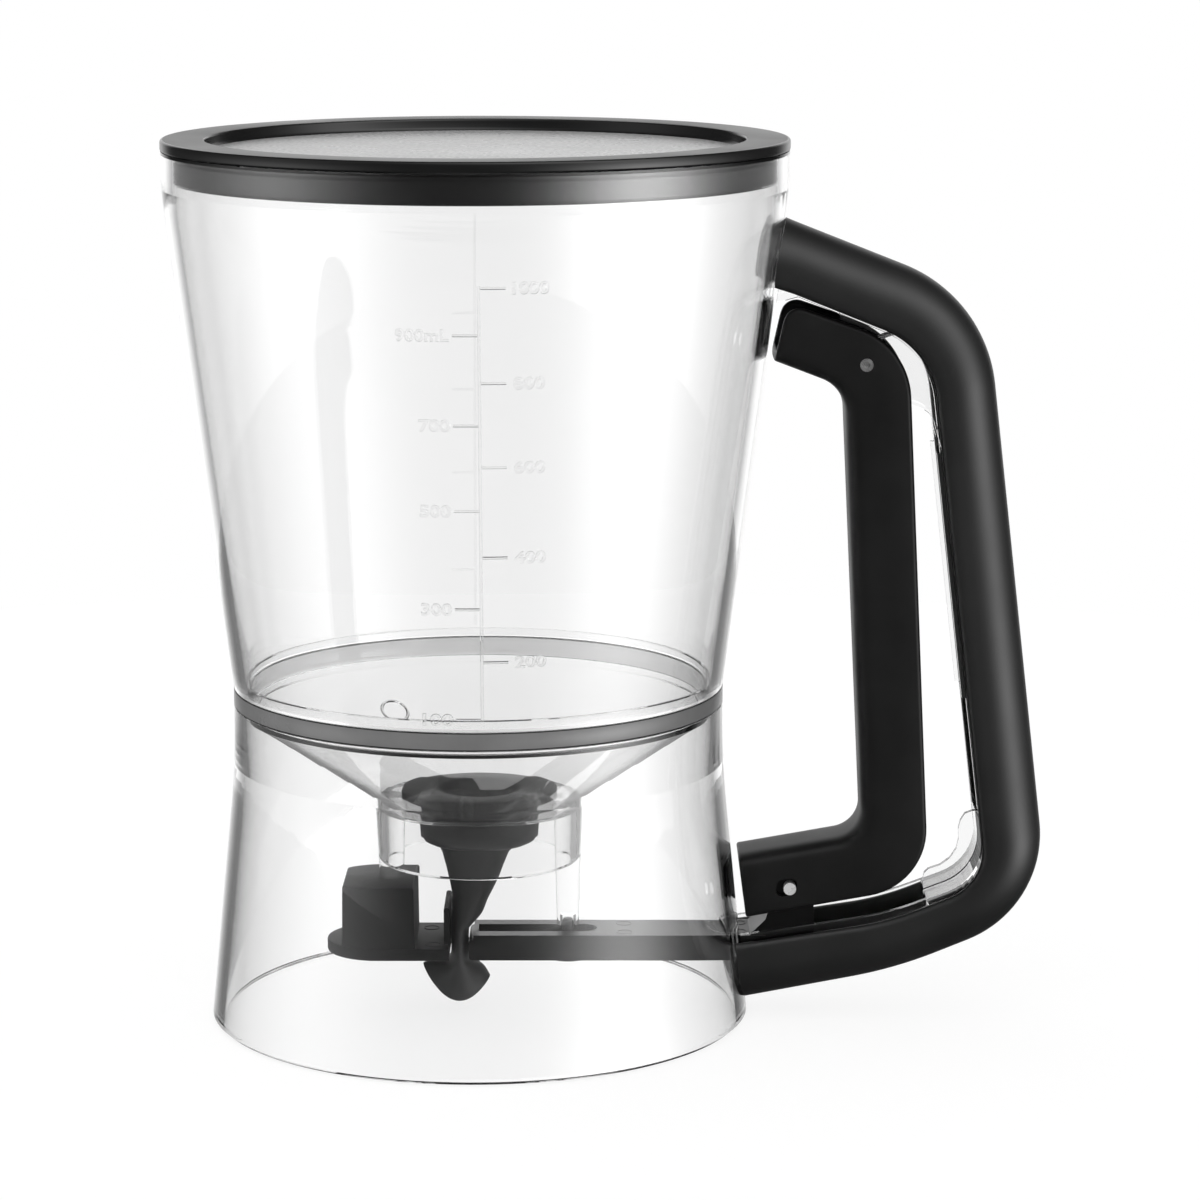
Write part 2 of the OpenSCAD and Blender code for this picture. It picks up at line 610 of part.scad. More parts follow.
// Closed six-sided tube along a line that never runs along Y
module tube(line, r) {
    n = len(line);
    k = 6;
    rings = [for (i = [0:n - 1])
        let (t = unit(line[min(i + 1, n - 1)] - line[max(i - 1, 0)]),
             u = unit(cross(t, [0, 1, 0])), v = cross(t, u))
        for (j = [0:k - 1]) line[i] + r * (cos(60 * j) * u + sin(60 * j) * v)];
    polyhedron(rings, concat([[for (j = [0:k - 1]) j]],
                             [[for (j = [k - 1:-1:0]) (n - 1) * k + j]],
                             [for (i = [0:n - 2], j = [0:k - 1])
                                 let (a = i * k + j, b = i * k + (j + 1) % k)
                                 each [[a, a + k, b + k], [a, b + k, b]]]));
}

module return_spring() {
    gap = min([for (i = [0:len(spring_line) - 1], j = [0:len(spring_line) - 1])
        if (j - i > ring_n / 2) norm(spring_line[i] - spring_line[j]) - 2 * wire_r]);
    echo(least_gap_of_spring = gap);
    color([0.8, 0.8, 0.82]) tube(spring_line, wire_r);
}

// ---------------------------------------------------------------- handle
// Back of the handle and the open edge of its channel, from the hopper to the skirt
handle_n = [12, 10, 5];
handle_back = [[hopper_at(top.y - 14.6), top.y - 14.6], top + [41.9, -31.45], foot + [65.6, 23.1],
               foot + [32.3, 9.4], [skirt_at(3.2), 3.2]];
handle_edge = [[hopper_at(top.y - 28.4), top.y - 28.4], top + [29.6, -41.3], foot + [51, 30.5],
               foot + [29.8, 22.1], [skirt_at(17.2), 17.2]];
handle_back_r = [31, 25, 95];
handle_edge_r = [18, 11, 60];

module handle_cover() {
    color([0.16, 0.16, 0.17])
        channel(soft_path(handle_back, handle_back_r, handle_n),
                soft_path(handle_edge, handle_edge_r, handle_n),
                cover_w, cover_t, cover_back, cover_round, cover_k, wall_at = [0, 1]);
}

// Closed outline between a line moved in by d and the jug's axis
function extended(p, q) = let (u = unit(q - p)) p - u * (p.x / u.x);
function inside_of(v, r, d) =
    let (m = moved(v, d), k = len(m) - 1)
    soft_path(concat([extended(m[0], m[1])], [for (i = [1:k - 1]) m[i]], [extended(m[k], m[k - 1])]),
              less(r, d), handle_n);
// What lies on the jug's side of the handle's back, d inside it
module inside_back(d) polygon(inside_of(handle_back, handle_back_r, d));
// What lies on the jug's side of the channel's open edge, d inside it
module inside_edge(d) polygon(inside_of(handle_edge, handle_edge_r, d));
// Outline of the jug with the gap where the handle is seated on it
module jug_outline()
    polygon([[0, -beyond], [foot_r + seat, -beyond], [foot_r + seat, 0], [waist_r + seat, flare_z],
             [waist_r + seat, waist_z], [mouth_r + seat, rim_z - mouth_band_h],
             [mouth_r + seat, rim_z + beyond], [0, rim_z + beyond]]);
beyond = 30;                       // the outline runs past the jug's ends

// Depth below the cover's back where a frame of half width y fits inside its rounding
frame_fit = 0.2;
function fit_depth(y) =
    cover_back + frame_fit + (cover_round - cover_back)
        * (1 - pow(1 - pow(y / (cover_w / 2 - cover_t - frame_fit / 2), cover_k), 1 / cover_k));
rail_out = cover_w / 2 - cover_t - 0.3;
strip_out = rail_out - 0.5;
rail_from = fit_depth(rail_out);   // depth below the cover's back where the rails begin
lining = fit_depth(strip_out);     // depth of the frame's back strip
frame_end_x = foot.x + 38.4;       // the slot for the bar's upright end reaches to here
stop_z = 44.4;                     // top of the lower corner's ledge and fin
band_z = [71, 124];                // the rails stand out between these heights

// Edge of the clear side rails, just past the cover's open edge
rail_edge = [[hopper_at(top.y - 28.8), top.y - 28.8], top + [29.3, -41.7], foot + [50.9, 31.4],
             foot + [29.7, 23.3], [skirt_at(18.6), 18.6]];
rail_edge_r = [17.6, 11, 60];
module inside_rail(d = 0) polygon(inside_of(rail_edge, rail_edge_r, d));

gusset_at = [[-5, -28], [-5, -32], [-1.8, -31.4], [2.6, -30.2], [2.6, -28]];  // below the mouth
module rail_outline()
    difference() {
        union() {
            difference() {
                inside_back(rail_from);
                inside_rail();
            }
            // part that stands out beside the grip
            intersection() {
                difference() {
                    inside_edge(-1);
                    inside_edge(1);
                }
                translate([top.x, band_z[0]]) square([60, band_z[1] - band_z[0]]);
            }
            // gusset below the hopper's mouth
            polygon([for (p = gusset_at) top + p]);
        }
        jug_outline();
    }

// Fin that stands on the ledge in the lower corner
fin = [[38.4, 25.4], [38.2, 28.6], [38.5, 30.3], [39.4, 31.2], [42, 32.1], [44.1, 33.7], [45.4, 35.7],
       [45.9, 38], [45.8, 40.2], [46.2, 42], [47.2, 43.6], [48.8, 44.2], [50.4, 44.3], [51, 36], [49, 31],
       [44, 28]];

ear_y = 5.5;                       // middle of each ear
ear_t = 2.2;
ear_r = 4.6;
module handle_frame() {
    color([0.9, 0.91, 0.92, 0.5])
        difference() {
            union() {
                // back of the frame, along the inside of the cover
                along_y(2 * strip_out)
                    intersection() {
                        difference() {
                            inside_back(lining);
                            inside_back(lining + frame_t);
                            jug_outline();
                        }
                        union() {
                            translate([0, foot.y + 40]) square([2 * top.x + 60, rim_z]);
                            translate([frame_end_x, 0]) square([60, 41]);
                        }
                    }
                for (side = [-1, 1]) {
                    along_y(frame_t, side * (rail_out - frame_t / 2)) rail_outline();
                    // ears that carry the pivot
                    along_y(ear_t, side * ear_y) ear();
                }
                // ledge across the lower corner, and the fin on it
                along_y(2 * rail_out)
                    intersection() {
                        difference() {
                            inside_rail(-frame_t);
                            inside_rail();
                        }
                        translate([frame_end_x, 0]) square([60, stop_z]);
                    }
                along_y(frame_t) translate(foot) polygon(fin);
                rod(pivot, hub_r, 2 * ear_y);
                // rib that the spring's upper leg bears on
                let (p = leg_point(first_angle, 1 - upper_leg, 0), n = [cos(first_angle), sin(first_angle)])
                    rod([p.x, p.z] + n * (wire_r + stop_r + seat), stop_r, 2 * ear_y);
            }
            rod(pivot, pivot_r + 0.02, cover_w);
        }
}

// Plate from the frame's back to the pivot, inside the trigger
module ear() {
    translate(pivot) circle(ear_r);
    intersection() {
        inside_back(lining + eps);
        translate(pivot)
            polygon(concat([[-4.2, 1.9], [-6, 12], [-6, 26], [30, 26], [30, -19]],
                           soft_path([[16.4, -19], [14, -10.4], [4.5, -7], [0.8, -4.5]], [4, 5], [4, 4])));
    }
}

// ---------------------------------------------------------------- lid
plug_r = mouth_r - wall - slip - seal_t;
lid_recess_r = mouth_r - lid_rim_w;  // radius of the sunken disc
lid_top = rim_z + seat + lid_flange_h;

module lid() {
    z0 = rim_z + seat;
    deck = lid_top - lid_recess;   // top of the sunken disc
    edge = 0.6;
    plug_z = z0 - plug_h;
    r_in = plug_r - lid_wall;
    color([0.1, 0.1, 0.11])
        rotate_extrude()
            polygon([[0, deck - lid_wall], [lid_recess_r + lid_wall, deck - lid_wall],
                     [lid_recess_r + lid_wall, z0 + 0.4], [r_in, z0 + 0.4], [r_in, plug_z],
                     [plug_r - 0.4, plug_z], [plug_r, plug_z + 0.4], [plug_r, z0], [mouth_r, z0],
                     [mouth_r + 0.1, z0 + edge / 2], [mouth_r + 0.1, lid_top - edge],
                     [mouth_r - edge / 2, lid_top], [lid_recess_r + edge, lid_top],
                     [lid_recess_r, lid_top - edge],
                     [lid_recess_r - 0.5, deck], [0, deck]]);
}

module lid_seal() {
    z1 = rim_z - 1.4;
    r1 = plug_r + seal_t;
    color([0.06, 0.06, 0.07])
        rotate_extrude()
            polygon([[plug_r + 0.02, z1 - seal_h], [r1 - 0.4, z1 - seal_h], [r1, z1 - seal_h + 0.5],
                     [r1, z1 - 0.5], [r1 - 0.4, z1], [plug_r + 0.02, z1]]);
}

hopper();
base_skirt();
waist_ring();
funnel();
nozzle();
pinch_block();
block_screw();
slide_bar();
guide_washer();
guide_screw();
link_pin();
trigger();
pivot_pin();
return_spring();
handle_frame();
handle_cover();
lid();
lid_seal();
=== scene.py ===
"""Looks of the pancake batter dispenser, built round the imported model.

Lengths in this file are millimetres unless a name says otherwise; the meshes are made in metres.
X points from the hopper to the handle, Y from the camera to the back, and Z up.
"""
import math

import bmesh
import bpy
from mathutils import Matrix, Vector
from mathutils.geometry import convex_hull_2d


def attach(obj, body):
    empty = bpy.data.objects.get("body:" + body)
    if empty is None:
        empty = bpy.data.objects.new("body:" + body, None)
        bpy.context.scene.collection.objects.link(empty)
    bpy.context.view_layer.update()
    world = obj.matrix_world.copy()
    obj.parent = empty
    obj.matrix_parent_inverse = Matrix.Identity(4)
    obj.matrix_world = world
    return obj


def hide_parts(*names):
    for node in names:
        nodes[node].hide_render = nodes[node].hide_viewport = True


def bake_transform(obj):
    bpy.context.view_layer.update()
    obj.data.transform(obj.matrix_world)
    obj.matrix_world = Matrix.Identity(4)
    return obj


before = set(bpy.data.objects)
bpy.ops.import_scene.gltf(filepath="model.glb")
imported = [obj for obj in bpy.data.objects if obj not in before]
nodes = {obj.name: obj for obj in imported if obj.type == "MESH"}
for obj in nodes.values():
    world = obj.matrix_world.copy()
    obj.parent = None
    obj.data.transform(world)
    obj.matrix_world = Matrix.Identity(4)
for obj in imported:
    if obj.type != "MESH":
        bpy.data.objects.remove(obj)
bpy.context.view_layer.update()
MM = 0.001
TURN = 2 * math.pi


# ---------------------------------------------------------------- outlines in a plane
def unit(v):
    return v / v.length


def arc_at(p, q, s, r, n):
    """Arc of radius r that rounds the corner q between p and s, as n + 1 points."""
    u, w = unit(p - q), unit(s - q)
    half = u.angle(w) / 2
    c = q + unit(u + w) * (r / math.sin(half))
    a, b = q + u * (r / math.tan(half)) - c, q + w * (r / math.tan(half)) - c
    a0 = math.atan2(a.y, a.x)
    turn = (math.atan2(b.y, b.x) - a0 + 3 * math.pi) % TURN - math.pi
    return [c + Vector((math.cos(a0 + turn * i / n), math.sin(a0 + turn * i / n))) * r for i in range(n + 1)]


def soft_path(points, radii, counts):
    """Line through the points with its inner corners rounded to the radii."""
    v = [Vector(p) for p in points]
    path = [v[0]]
    for i in range(1, len(v) - 1):
        path += arc_at(v[i - 1], v[i], v[i + 1], radii[i - 1], counts[i - 1])
    return path + [v[-1]]


def circle(centre, r, n=32):
    return [centre + Vector((math.cos(TURN * i / n), math.sin(TURN * i / n))) * r for i in range(n)]


def quarter(r, z, size, start, n=5):
    """Rounded corner about the centre (r, z): a quarter turn counter-clockwise from the angle start."""
    angles = [math.radians(start + 90 * i / n) for i in range(n + 1)]
    return [(r + size * math.cos(a), z + size * math.sin(a)) for a in angles]


# ---------------------------------------------------------------- meshes
WELD_M, NO_AREA_M = 1e-6, 1e-7


def finish_mesh(obj, sharp):
    """Smooth shading, with creases kept where faces meet at more than sharp degrees."""
    mesh = obj.data
    bm = bmesh.new()
    bm.from_mesh(mesh)
    bmesh.ops.remove_doubles(bm, verts=bm.verts, dist=WELD_M)
    bmesh.ops.dissolve_degenerate(bm, edges=bm.edges, dist=NO_AREA_M)
    bmesh.ops.recalc_face_normals(bm, faces=bm.faces)
    bm.to_mesh(mesh)
    bm.free()
    mesh.shade_smooth()
    mesh.set_sharp_from_angle(angle=math.radians(sharp))


def mesh_piece(name, points, faces, body, materials, sharp=32.0, kinds=None):
    """A piece in place. Where kinds is given, it is the number of each face's material."""
    mesh = bpy.data.meshes.new(name)
    mesh.from_pydata([Vector(p) * MM for p in points], [], faces)
    for material in materials if isinstance(materials, list) else [materials]:
        mesh.materials.append(material)
    if kinds:
        mesh.polygons.foreach_set("material_index", kinds)
    obj = bpy.data.objects.new(name, mesh)
    bpy.context.scene.collection.objects.link(obj)
    finish_mesh(obj, sharp)
    if body:
        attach(obj, body)
    return obj


def loft(rings, closed_path=False):
    """Points and faces of a skin over closed rings that have as many points each."""
    n, m = len(rings[0]), len(rings)
    points = [p for ring in rings for p in ring]
    faces = []
    for i in range(m if closed_path else m - 1):
        j = (i + 1) % m
        faces += [(i * n + k, i * n + (k + 1) % n, j * n + (k + 1) % n, j * n + k) for k in range(n)]
    if not closed_path:
        faces += [tuple(range(n - 1, -1, -1)), tuple(range((m - 1) * n, m * n))]
    return points, faces


def joined(parts):
    """Points and faces of several parts as one."""
    points, faces = [], []
    for some_points, some_faces in parts:
        faces += [tuple(i + len(points) for i in face) for face in some_faces]
        points += some_points
    return points, faces


def lathe(profile, count=256):
    """Points and faces of a closed [radius, height] profile turned about Z."""
    turns = [TURN * i / count for i in range(count)]
    return loft([[(r * math.cos(a), r * math.sin(a), z) for r, z in profile] for a in turns], closed_path=True)


def lathe_at(profile, x, y, count=48):
    """A small turned piece on an upright axis at x and y."""
    points, faces = lathe(profile, count)
    return [(px + x, py + y, pz) for px, py, pz in points], faces


def by_kind(runs, count=256):
    """A profile, and the kinds of its lathe's faces, from runs of points with one kind each.

    The kind of a point is the number of the material on the face that leads on from it.
    """
    return [p for run, _ in runs for p in run], [kind for run, kind in runs for _ in run] * count


def tube(line, r, k=12):
    """Points and faces of a round tube along a 3-D line that never runs along Y."""
    line = [Vector(p) for p in line]
    rings = []
    for i, p in enumerate(line):
        t = unit(line[min(i + 1, len(line) - 1)] - line[max(i - 1, 0)])
        u = unit(t.cross(Vector((0, 1, 0))))
        v = t.cross(u)
        rings.append([p + (u * math.cos(TURN * j / k) + v * math.sin(TURN * j / k)) * r for j in range(k)])
    return loft(rings)


def prism(outline, half_width):
    """Points and faces of an XZ outline extruded along Y."""
    return loft([[(x, y, z) for x, z in outline] for y in (-half_width, half_width)])


def cut(obj, cutters, sharp):
    """Take the cutters' solids out of the piece."""
    for cutter in cutters:
        modifier = obj.modifiers.new("cut", "BOOLEAN")
        modifier.operation, modifier.solver, modifier.object = "DIFFERENCE", "EXACT", cutter
    mesh = bpy.data.meshes.new_from_object(obj.evaluated_get(bpy.context.evaluated_depsgraph_get()))
    obj.modifiers.clear()
    obj.data = mesh
    for cutter in cutters:
        bpy.data.objects.remove(cutter)
    finish_mesh(obj, sharp)


# ---------------------------------------------------------------- materials
def new_material(name):
    mat = bpy.data.materials.new(name)
    mat.use_nodes = True
    return mat, mat.node_tree, mat.node_tree.nodes["Principled BSDF"]


def add(tree, kind, inputs=None, **settings):
    node = tree.nodes.new(kind)
    for key, value in settings.items():
        setattr(node, key, value)
    for key, value in (inputs or {}).items():
        node.inputs[key].default_value = value
    return node


def feed(tree, value, socket):
    """Give a socket a number, or the output of another node."""
    if isinstance(value, (int, float)):
        socket.default_value = value
    else:
        tree.links.new(value, socket)


def noise(tree, scale, detail=3.0, stretch=(1, 1, 1)):
    """Noise in object space; scale counts features per metre."""
    coord = add(tree, "ShaderNodeTexCoord")
    mapping = add(tree, "ShaderNodeMapping", {"Scale": stretch})
    tex = add(tree, "ShaderNodeTexNoise", {"Scale": scale, "Detail": detail})
    tree.links.new(coord.outputs["Object"], mapping.inputs["Vector"])
    tree.links.new(mapping.outputs["Vector"], tex.inputs["Vector"])
    return tex.outputs["Fac"]


def spread(tree, value, low, high, from_low=0.3, from_high=0.7):
    """The value, mapped from its own range to low and high."""
    node = add(tree, "ShaderNodeMapRange",
               {"From Min": from_low, "From Max": from_high, "To Min": low, "To Max": high})
    tree.links.new(value, node.inputs["Value"])
    return node.outputs["Result"]


def bump(tree, height, strength, distance_m, onto=None):
    node = add(tree, "ShaderNodeBump", {"Strength": strength, "Distance": distance_m})
    tree.links.new(height, node.inputs["Height"])
    if onto is not None:
        tree.links.new(onto, node.inputs["Normal"])
    return node.outputs["Normal"]


def shade(tree, value, dark, light, start=0.3, end=0.7):
    """The value as a grey, from dark at start to light at end."""
    ramp = add(tree, "ShaderNodeValToRGB")
    first, last = ramp.color_ramp.elements[0], ramp.color_ramp.elements[1]
    first.position, last.position = start, end
    first.color, last.color = (dark, dark, dark, 1), (light, light, light, 1)
    tree.links.new(value, ramp.inputs["Fac"])
    return ramp.outputs["Color"]


HEAD_ON = 0.985  # grey of clear plastic that is seen straight on


def clear_material(name, edge, rough, wave, start=0.3, end=0.95, ior=1.49):
    """Clear moulded plastic with slow flow waves, and painted shade that greys it to edge where it is seen along
    its surface.
    """
    mat, tree, bsdf = new_material(name)
    bsdf.inputs["IOR"].default_value = ior
    bsdf.inputs["Transmission Weight"].default_value = 1.0
    facing = add(tree, "ShaderNodeLayerWeight", {"Blend": 0.5})
    tree.links.new(shade(tree, facing.outputs["Facing"], HEAD_ON, edge, start, end), bsdf.inputs["Base Color"])
    tree.links.new(spread(tree, noise(tree, 60), rough * 0.6, rough * 1.6), bsdf.inputs["Roughness"])
    fine = bump(tree, noise(tree, 45, 1.0, (1, 1, 0.3)), wave * 0.4, 0.0003)
    tree.links.new(bump(tree, noise(tree, 14, 1.0), wave, 0.0006, fine), bsdf.inputs["Normal"])
    return mat


def plastic_material(name, dark, light, rough, grain, strength, specular=0.5, mottle=90):
    """Moulded opaque plastic, mottled from dark to light, with a fine eroded grain."""
    mat, tree, bsdf = new_material(name)
    tree.links.new(shade(tree, noise(tree, mottle, 4), dark, light), bsdf.inputs["Base Color"])
    tree.links.new(spread(tree, noise(tree, 35, 5), rough[0], rough[1]), bsdf.inputs["Roughness"])
    bsdf.inputs["Specular IOR Level"].default_value = specular
    fine = bump(tree, noise(tree, grain, 2), strength, 0.00004)
    tree.links.new(bump(tree, noise(tree, 120, 1), strength * 0.3, 0.0001, fine), bsdf.inputs["Normal"])
    return mat


def steel_material(name, base, rough, metallic=1.0):
    """Drawn steel: fine rings round the pin's length."""
    mat, tree, bsdf = new_material(name)
    bsdf.inputs["Metallic"].default_value = metallic
    tree.links.new(shade(tree, noise(tree, 400, 3), base, base * 1.2), bsdf.inputs["Base Color"])
    tree.links.new(spread(tree, noise(tree, 700, 2, (1, 8, 1)), rough * 0.7, rough * 1.4),
                   bsdf.inputs["Roughness"])
    tree.links.new(bump(tree, noise(tree, 2500, 2, (1, 12, 1)), 0.1, 0.00002), bsdf.inputs["Normal"])
    return mat


# name, painted shade grey at its edges, roughness, waves, where the painted grey starts and ends, refractive
# index
clear = clear_material("clear_moulding", 0.80, 0.010, 0.015)
clear_skirt = clear_material("clear_skirt_moulding", 0.93, 0.010, 0.02, 0.5, 1.0)
clear_funnel = clear_material("clear_funnel_moulding", 0.92, 0.006, 0.003, 0.4, 1.0, 1.36)
clear_inner = clear_material("clear_frame_moulding", 0.72, 0.025, 0.05)
# The raised marks grey almost to black where seen along their sides: painted shade that draws their outlines.
clear_marks = clear_material("clear_raised_marks", 0.10, 0.010, 0.02, 0.14, 0.65)
# name, darkest and lightest grey, roughness, grain and its strength, specular level, mottling
black = plastic_material("black_satin", 0.007, 0.010, (0.36, 0.46), 2600, 0.25, 0.45)
# The trigger's copy of black satin is darker and less glossy: painted shade.
black_lever_shaded = plastic_material("black_satin_lever_painted_shade", 0.006, 0.009, (0.36, 0.46), 2600, 0.25, 0.2)
# The slide bar's and the pinch block's copies of black satin sit deep in the skirt and are darker: painted shade.
black_shaded_inside = plastic_material("black_satin_shaded_inside", 0.003, 0.004, (0.26, 0.34), 2600, 0.06, 0.28)
black_block_shaded = plastic_material("black_satin_block_shaded", 0.003, 0.005, (0.50, 0.60), 2600, 0.06, 0.15)
gloss = plastic_material("black_gloss", 0.006, 0.008, (0.16, 0.24), 2600, 0.03, 0.35)
# The rim top of the black lid is painted grey: painted sheen on its top face, with a satin roughness.
rim_painted_sheen = plastic_material("lid_rim_painted_sheen", 0.09, 0.12, (0.34, 0.42), 5200, 0.25, 0.6)
deck = plastic_material("lid_deck_satin", 0.24, 0.58, (0.24, 0.32), 1400, 0.6, 0.6, 1100)
rubber = plastic_material("seal_black", 0.005, 0.007, (0.12, 0.18), 1800, 0.03, 0.35)
silicone = plastic_material("silicone_dark", 0.014, 0.021, (0.5, 0.62), 1500, 0.15, 0.3)
ring_grey = plastic_material("ring_grey", 0.15, 0.18, (0.20, 0.30), 1500, 0.03, 0.4)
# Copies of the ring's grey: near white for painted light, near black for painted shade.
ring_painted_light = plastic_material("ring_painted_light", 0.94, 0.98, (0.20, 0.30), 1500, 0.03, 0.4)
ring_painted_shade = plastic_material("ring_painted_shade", 0.010, 0.014, (0.30, 0.40), 1500, 0.03, 0.2)
# name, grey, roughness, metallic share
steel = steel_material("steel_pin", 0.55, 0.24)
dark_steel = steel_material("dark_steel", 0.05, 0.35)
# The link pin's steel is only part metal, with a light grey diffuse base: painted sheen.
steel_painted_sheen = steel_material("steel_link_pin_painted_sheen", 0.70, 0.30, 0.4)

for name, mat in {
    "hopper": clear, "base_skirt": clear_skirt, "handle_frame": clear_inner,
    "slide_bar": black_shaded_inside, "block_screw": dark_steel, "link_pin": steel_painted_sheen, "pivot_pin": steel,
    "lid_seal": rubber,
}.items():
    for slot in nodes[name].material_slots:
        slot.material = mat


# ---------------------------------------------------------------- sizes shared with the solids
MOUTH_R, RIM_Z, WAIST_R, WAIST_Z, FOOT_R, FLARE_Z, BAND_H = 66.3, 187.6, 52.7, 73.0, 58.3, 56.0, 8.1
TOP, FOOT = Vector((MOUTH_R, RIM_Z)), Vector((FOOT_R, 0.0))
PIVOT, LINK = Vector((82.5, 142.65)), Vector((67.2, 28.8))
BAR_Z, POST_X, JAW_TOP = 12.4, 19.2, 24.4
BAR_TOP, PLATE_Z = BAR_Z + 5.6, BAR_Z + 1.1
PLATE_TOP = PLATE_Z + 2.7
OUTLET_Z, OUTLET_T = 47.45, 2.9
KEEPER_Z = OUTLET_Z - OUTLET_T
HOPPER_T, GAP, SEATED = 2.5, 0.05, 0.1


def hopper_at(z):
    return min(MOUTH_R, WAIST_R + (MOUTH_R - WAIST_R) * (z - WAIST_Z) / (RIM_Z - BAND_H - WAIST_Z))


def inside_hopper(z):
    return hopper_at(z) - HOPPER_T * math.hypot(1, (MOUTH_R - WAIST_R) / (RIM_Z - BAND_H - WAIST_Z))


def skirt_at(z):
    return WAIST_R if z > FLARE_Z else FOOT_R + (WAIST_R - FOOT_R) * z / FLARE_Z


def on_wall(radius_at, z, off=0.0):
    """The point of the XZ plane at the height z and off the hopper's or the skirt's wall."""
    return radius_at(z) + off, z


# ---------------------------------------------------------------- U-shaped shells
BACK_STEPS, LIP_STEPS, STATION_STEP = 14, 8, 4.0


def channel_ring(a, b, w, side_t, back_t, round_d, k, inset=0.0):
    """Closed section of a channel, a on its back and b on its open edge, with rounded lips.

    w is half its width. The back is a squared ellipse of power k, round_d deep. inset pulls the
    whole surface in.
    """
    length, d = (b - a).length - inset, unit(b - a)
    w, lip = w - inset, side_t / 2 - inset
    turns = [math.pi / 2 * i / BACK_STEPS for i in range(BACK_STEPS + 1)]

    def back(half_w, depth):
        return [(depth + (round_d - depth) * (1 - math.sin(t) ** (2 / k)),
                 half_w * max(math.cos(t), 0) ** (2 / k)) for t in turns]

    half = back(w, inset)[::-1]
    half.append((round_d + (length - lip - round_d) * 0.5, w))
    half += [(length - lip + lip * math.sin(t), w - lip + lip * math.cos(t))
             for t in [math.pi * i / LIP_STEPS for i in range(LIP_STEPS + 1)]]
    half += back(w - 2 * lip, back_t - inset)
    ring = half + [(p, -q) for p, q in half[-2:0:-1]]
    return [((a + d * p).x, q, (a + d * p).y) for p, q in ring]


def matched(back, edge):
    """Both lines split alike, so that station i of one lies beside station i of the other."""
    pairs = [(back[0], edge[0])]
    for (a, b), (c, d) in zip(zip(back, back[1:]), zip(edge, edge[1:])):
        n = max(1, math.ceil(max((b - a).length, (d - c).length) / STATION_STEP))
        pairs += [(a.lerp(b, i / n), c.lerp(d, i / n)) for i in range(1, n + 1)]
    return pairs


def along(pairs, s):
    """The station s millimetres from the first one."""
    (a, c), (b, d) = pairs[0], next(p for p in pairs if (p[0] - pairs[0][0]).length > s)
    return a + unit(b - a) * s, c + unit(d - c) * s


# Handle cover, seated on the hopper and on the skirt
COVER = dict(w=12, side_t=2.4, back_t=2.6, round_d=9.6, k=2.2)
corner_steps = (24, 20, 8)
cover_back = soft_path([on_wall(hopper_at, RIM_Z - 14.6), TOP + Vector((41.9, -31.45)),
                        FOOT + Vector((65.6, 23.1)), FOOT + Vector((32.3, 9.4)), on_wall(skirt_at, 3.2)],
                       (31, 25, 95), corner_steps)
cover_edge = soft_path([on_wall(hopper_at, RIM_Z - 28.4), TOP + Vector((29.6, -41.3)),
                        FOOT + Vector((51, 30.5)), FOOT + Vector((29.8, 22.1)), on_wall(skirt_at, 17.2)],
                       (18, 11, 60), corner_steps)
rings = [channel_ring(a, b, **COVER) for a, b in matched(cover_back, cover_edge)]
for end, radius_at in ((0, hopper_at), (-1, skirt_at)):
    rings[end] = [(math.sqrt((radius_at(z) + SEATED) ** 2 - y * y), y, z) for x, y, z in rings[end]]
cover = mesh_piece("handle_cover_shell", *loft(rings), "jug", black, 50)
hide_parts("handle_cover")

# Trigger, with rounded ends, a rounded upper corner and the holes for its two pins
TRIGGER = dict(w=9, side_t=2.0, back_t=2.2, round_d=4.2, k=4)
END_ROUND, END_KEPT, CORNER_R, PIVOT_HOLE_R, LINK_HOLE_R, HOLE_HALF = 0.5, 1.0, 4.0, 1.45, 1.4, 12
SLACK, PLAY = Vector((0.14, 1.04)), Vector((-1.6, -0.3))  # how the link pin moves in its hole
corner_steps = (14, 14)
trigger_back = soft_path([on_wall(hopper_at, RIM_Z - 44.5, 1.3), TOP + Vector((11.6, -50.2)),
                          FOOT + Vector((24.4, 40.4)), on_wall(skirt_at, 35.7, 1.3)],
                         (7.7, 6.3), corner_steps)
trigger_edge = soft_path([on_wall(hopper_at, RIM_Z - 31.8, 2.5), TOP + Vector((25.2, -40.8)),
                          FOOT + Vector((38.9, 29.4)), on_wall(skirt_at, 22.4, 1.7)],
                         (16.5, 14.6), corner_steps)
stations = matched(trigger_back, trigger_edge)
ends = [(END_ROUND * (1 - math.cos(t)), END_ROUND * (1 - math.sin(t)))
        for t in [math.pi / 8 * i for i in range(5)]]
rings = []
for s, inset in ends + [(s, 0.0) for s in (0.8, 1.3, 2.0, 2.8, 3.6)]:
    a, b = along(stations, s)
    b = b - unit(b - a) * (CORNER_R - math.sqrt(CORNER_R ** 2 - max(CORNER_R - s, 0) ** 2))
    rings.append(channel_ring(a, b, inset=inset, **TRIGGER))
rings += [channel_ring(a, b, **TRIGGER) for a, b in stations[1:-1]
          if (a - stations[0][0]).length > CORNER_R and (a - stations[-1][0]).length > END_KEPT]
rings += [channel_ring(*along(stations[::-1], s), inset=inset, **TRIGGER) for s, inset in ends[::-1]]
lever = mesh_piece("trigger_lever", *loft(rings), None, black_lever_shaded, 40)
corners = [p for t in (Vector((0, 0)), SLACK, PLAY, SLACK + PLAY) for p in circle(LINK + t, LINK_HOLE_R)]
oblong = [corners[i] for i in convex_hull_2d(corners)]
cut(lever, [mesh_piece("pivot_hole", *prism(circle(PIVOT, PIVOT_HOLE_R), HOLE_HALF), None, black_lever_shaded),
            mesh_piece("link_hole", *prism(oblong, HOLE_HALF), None, black_lever_shaded)], 40)
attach(lever, "trigger")
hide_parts("trigger")


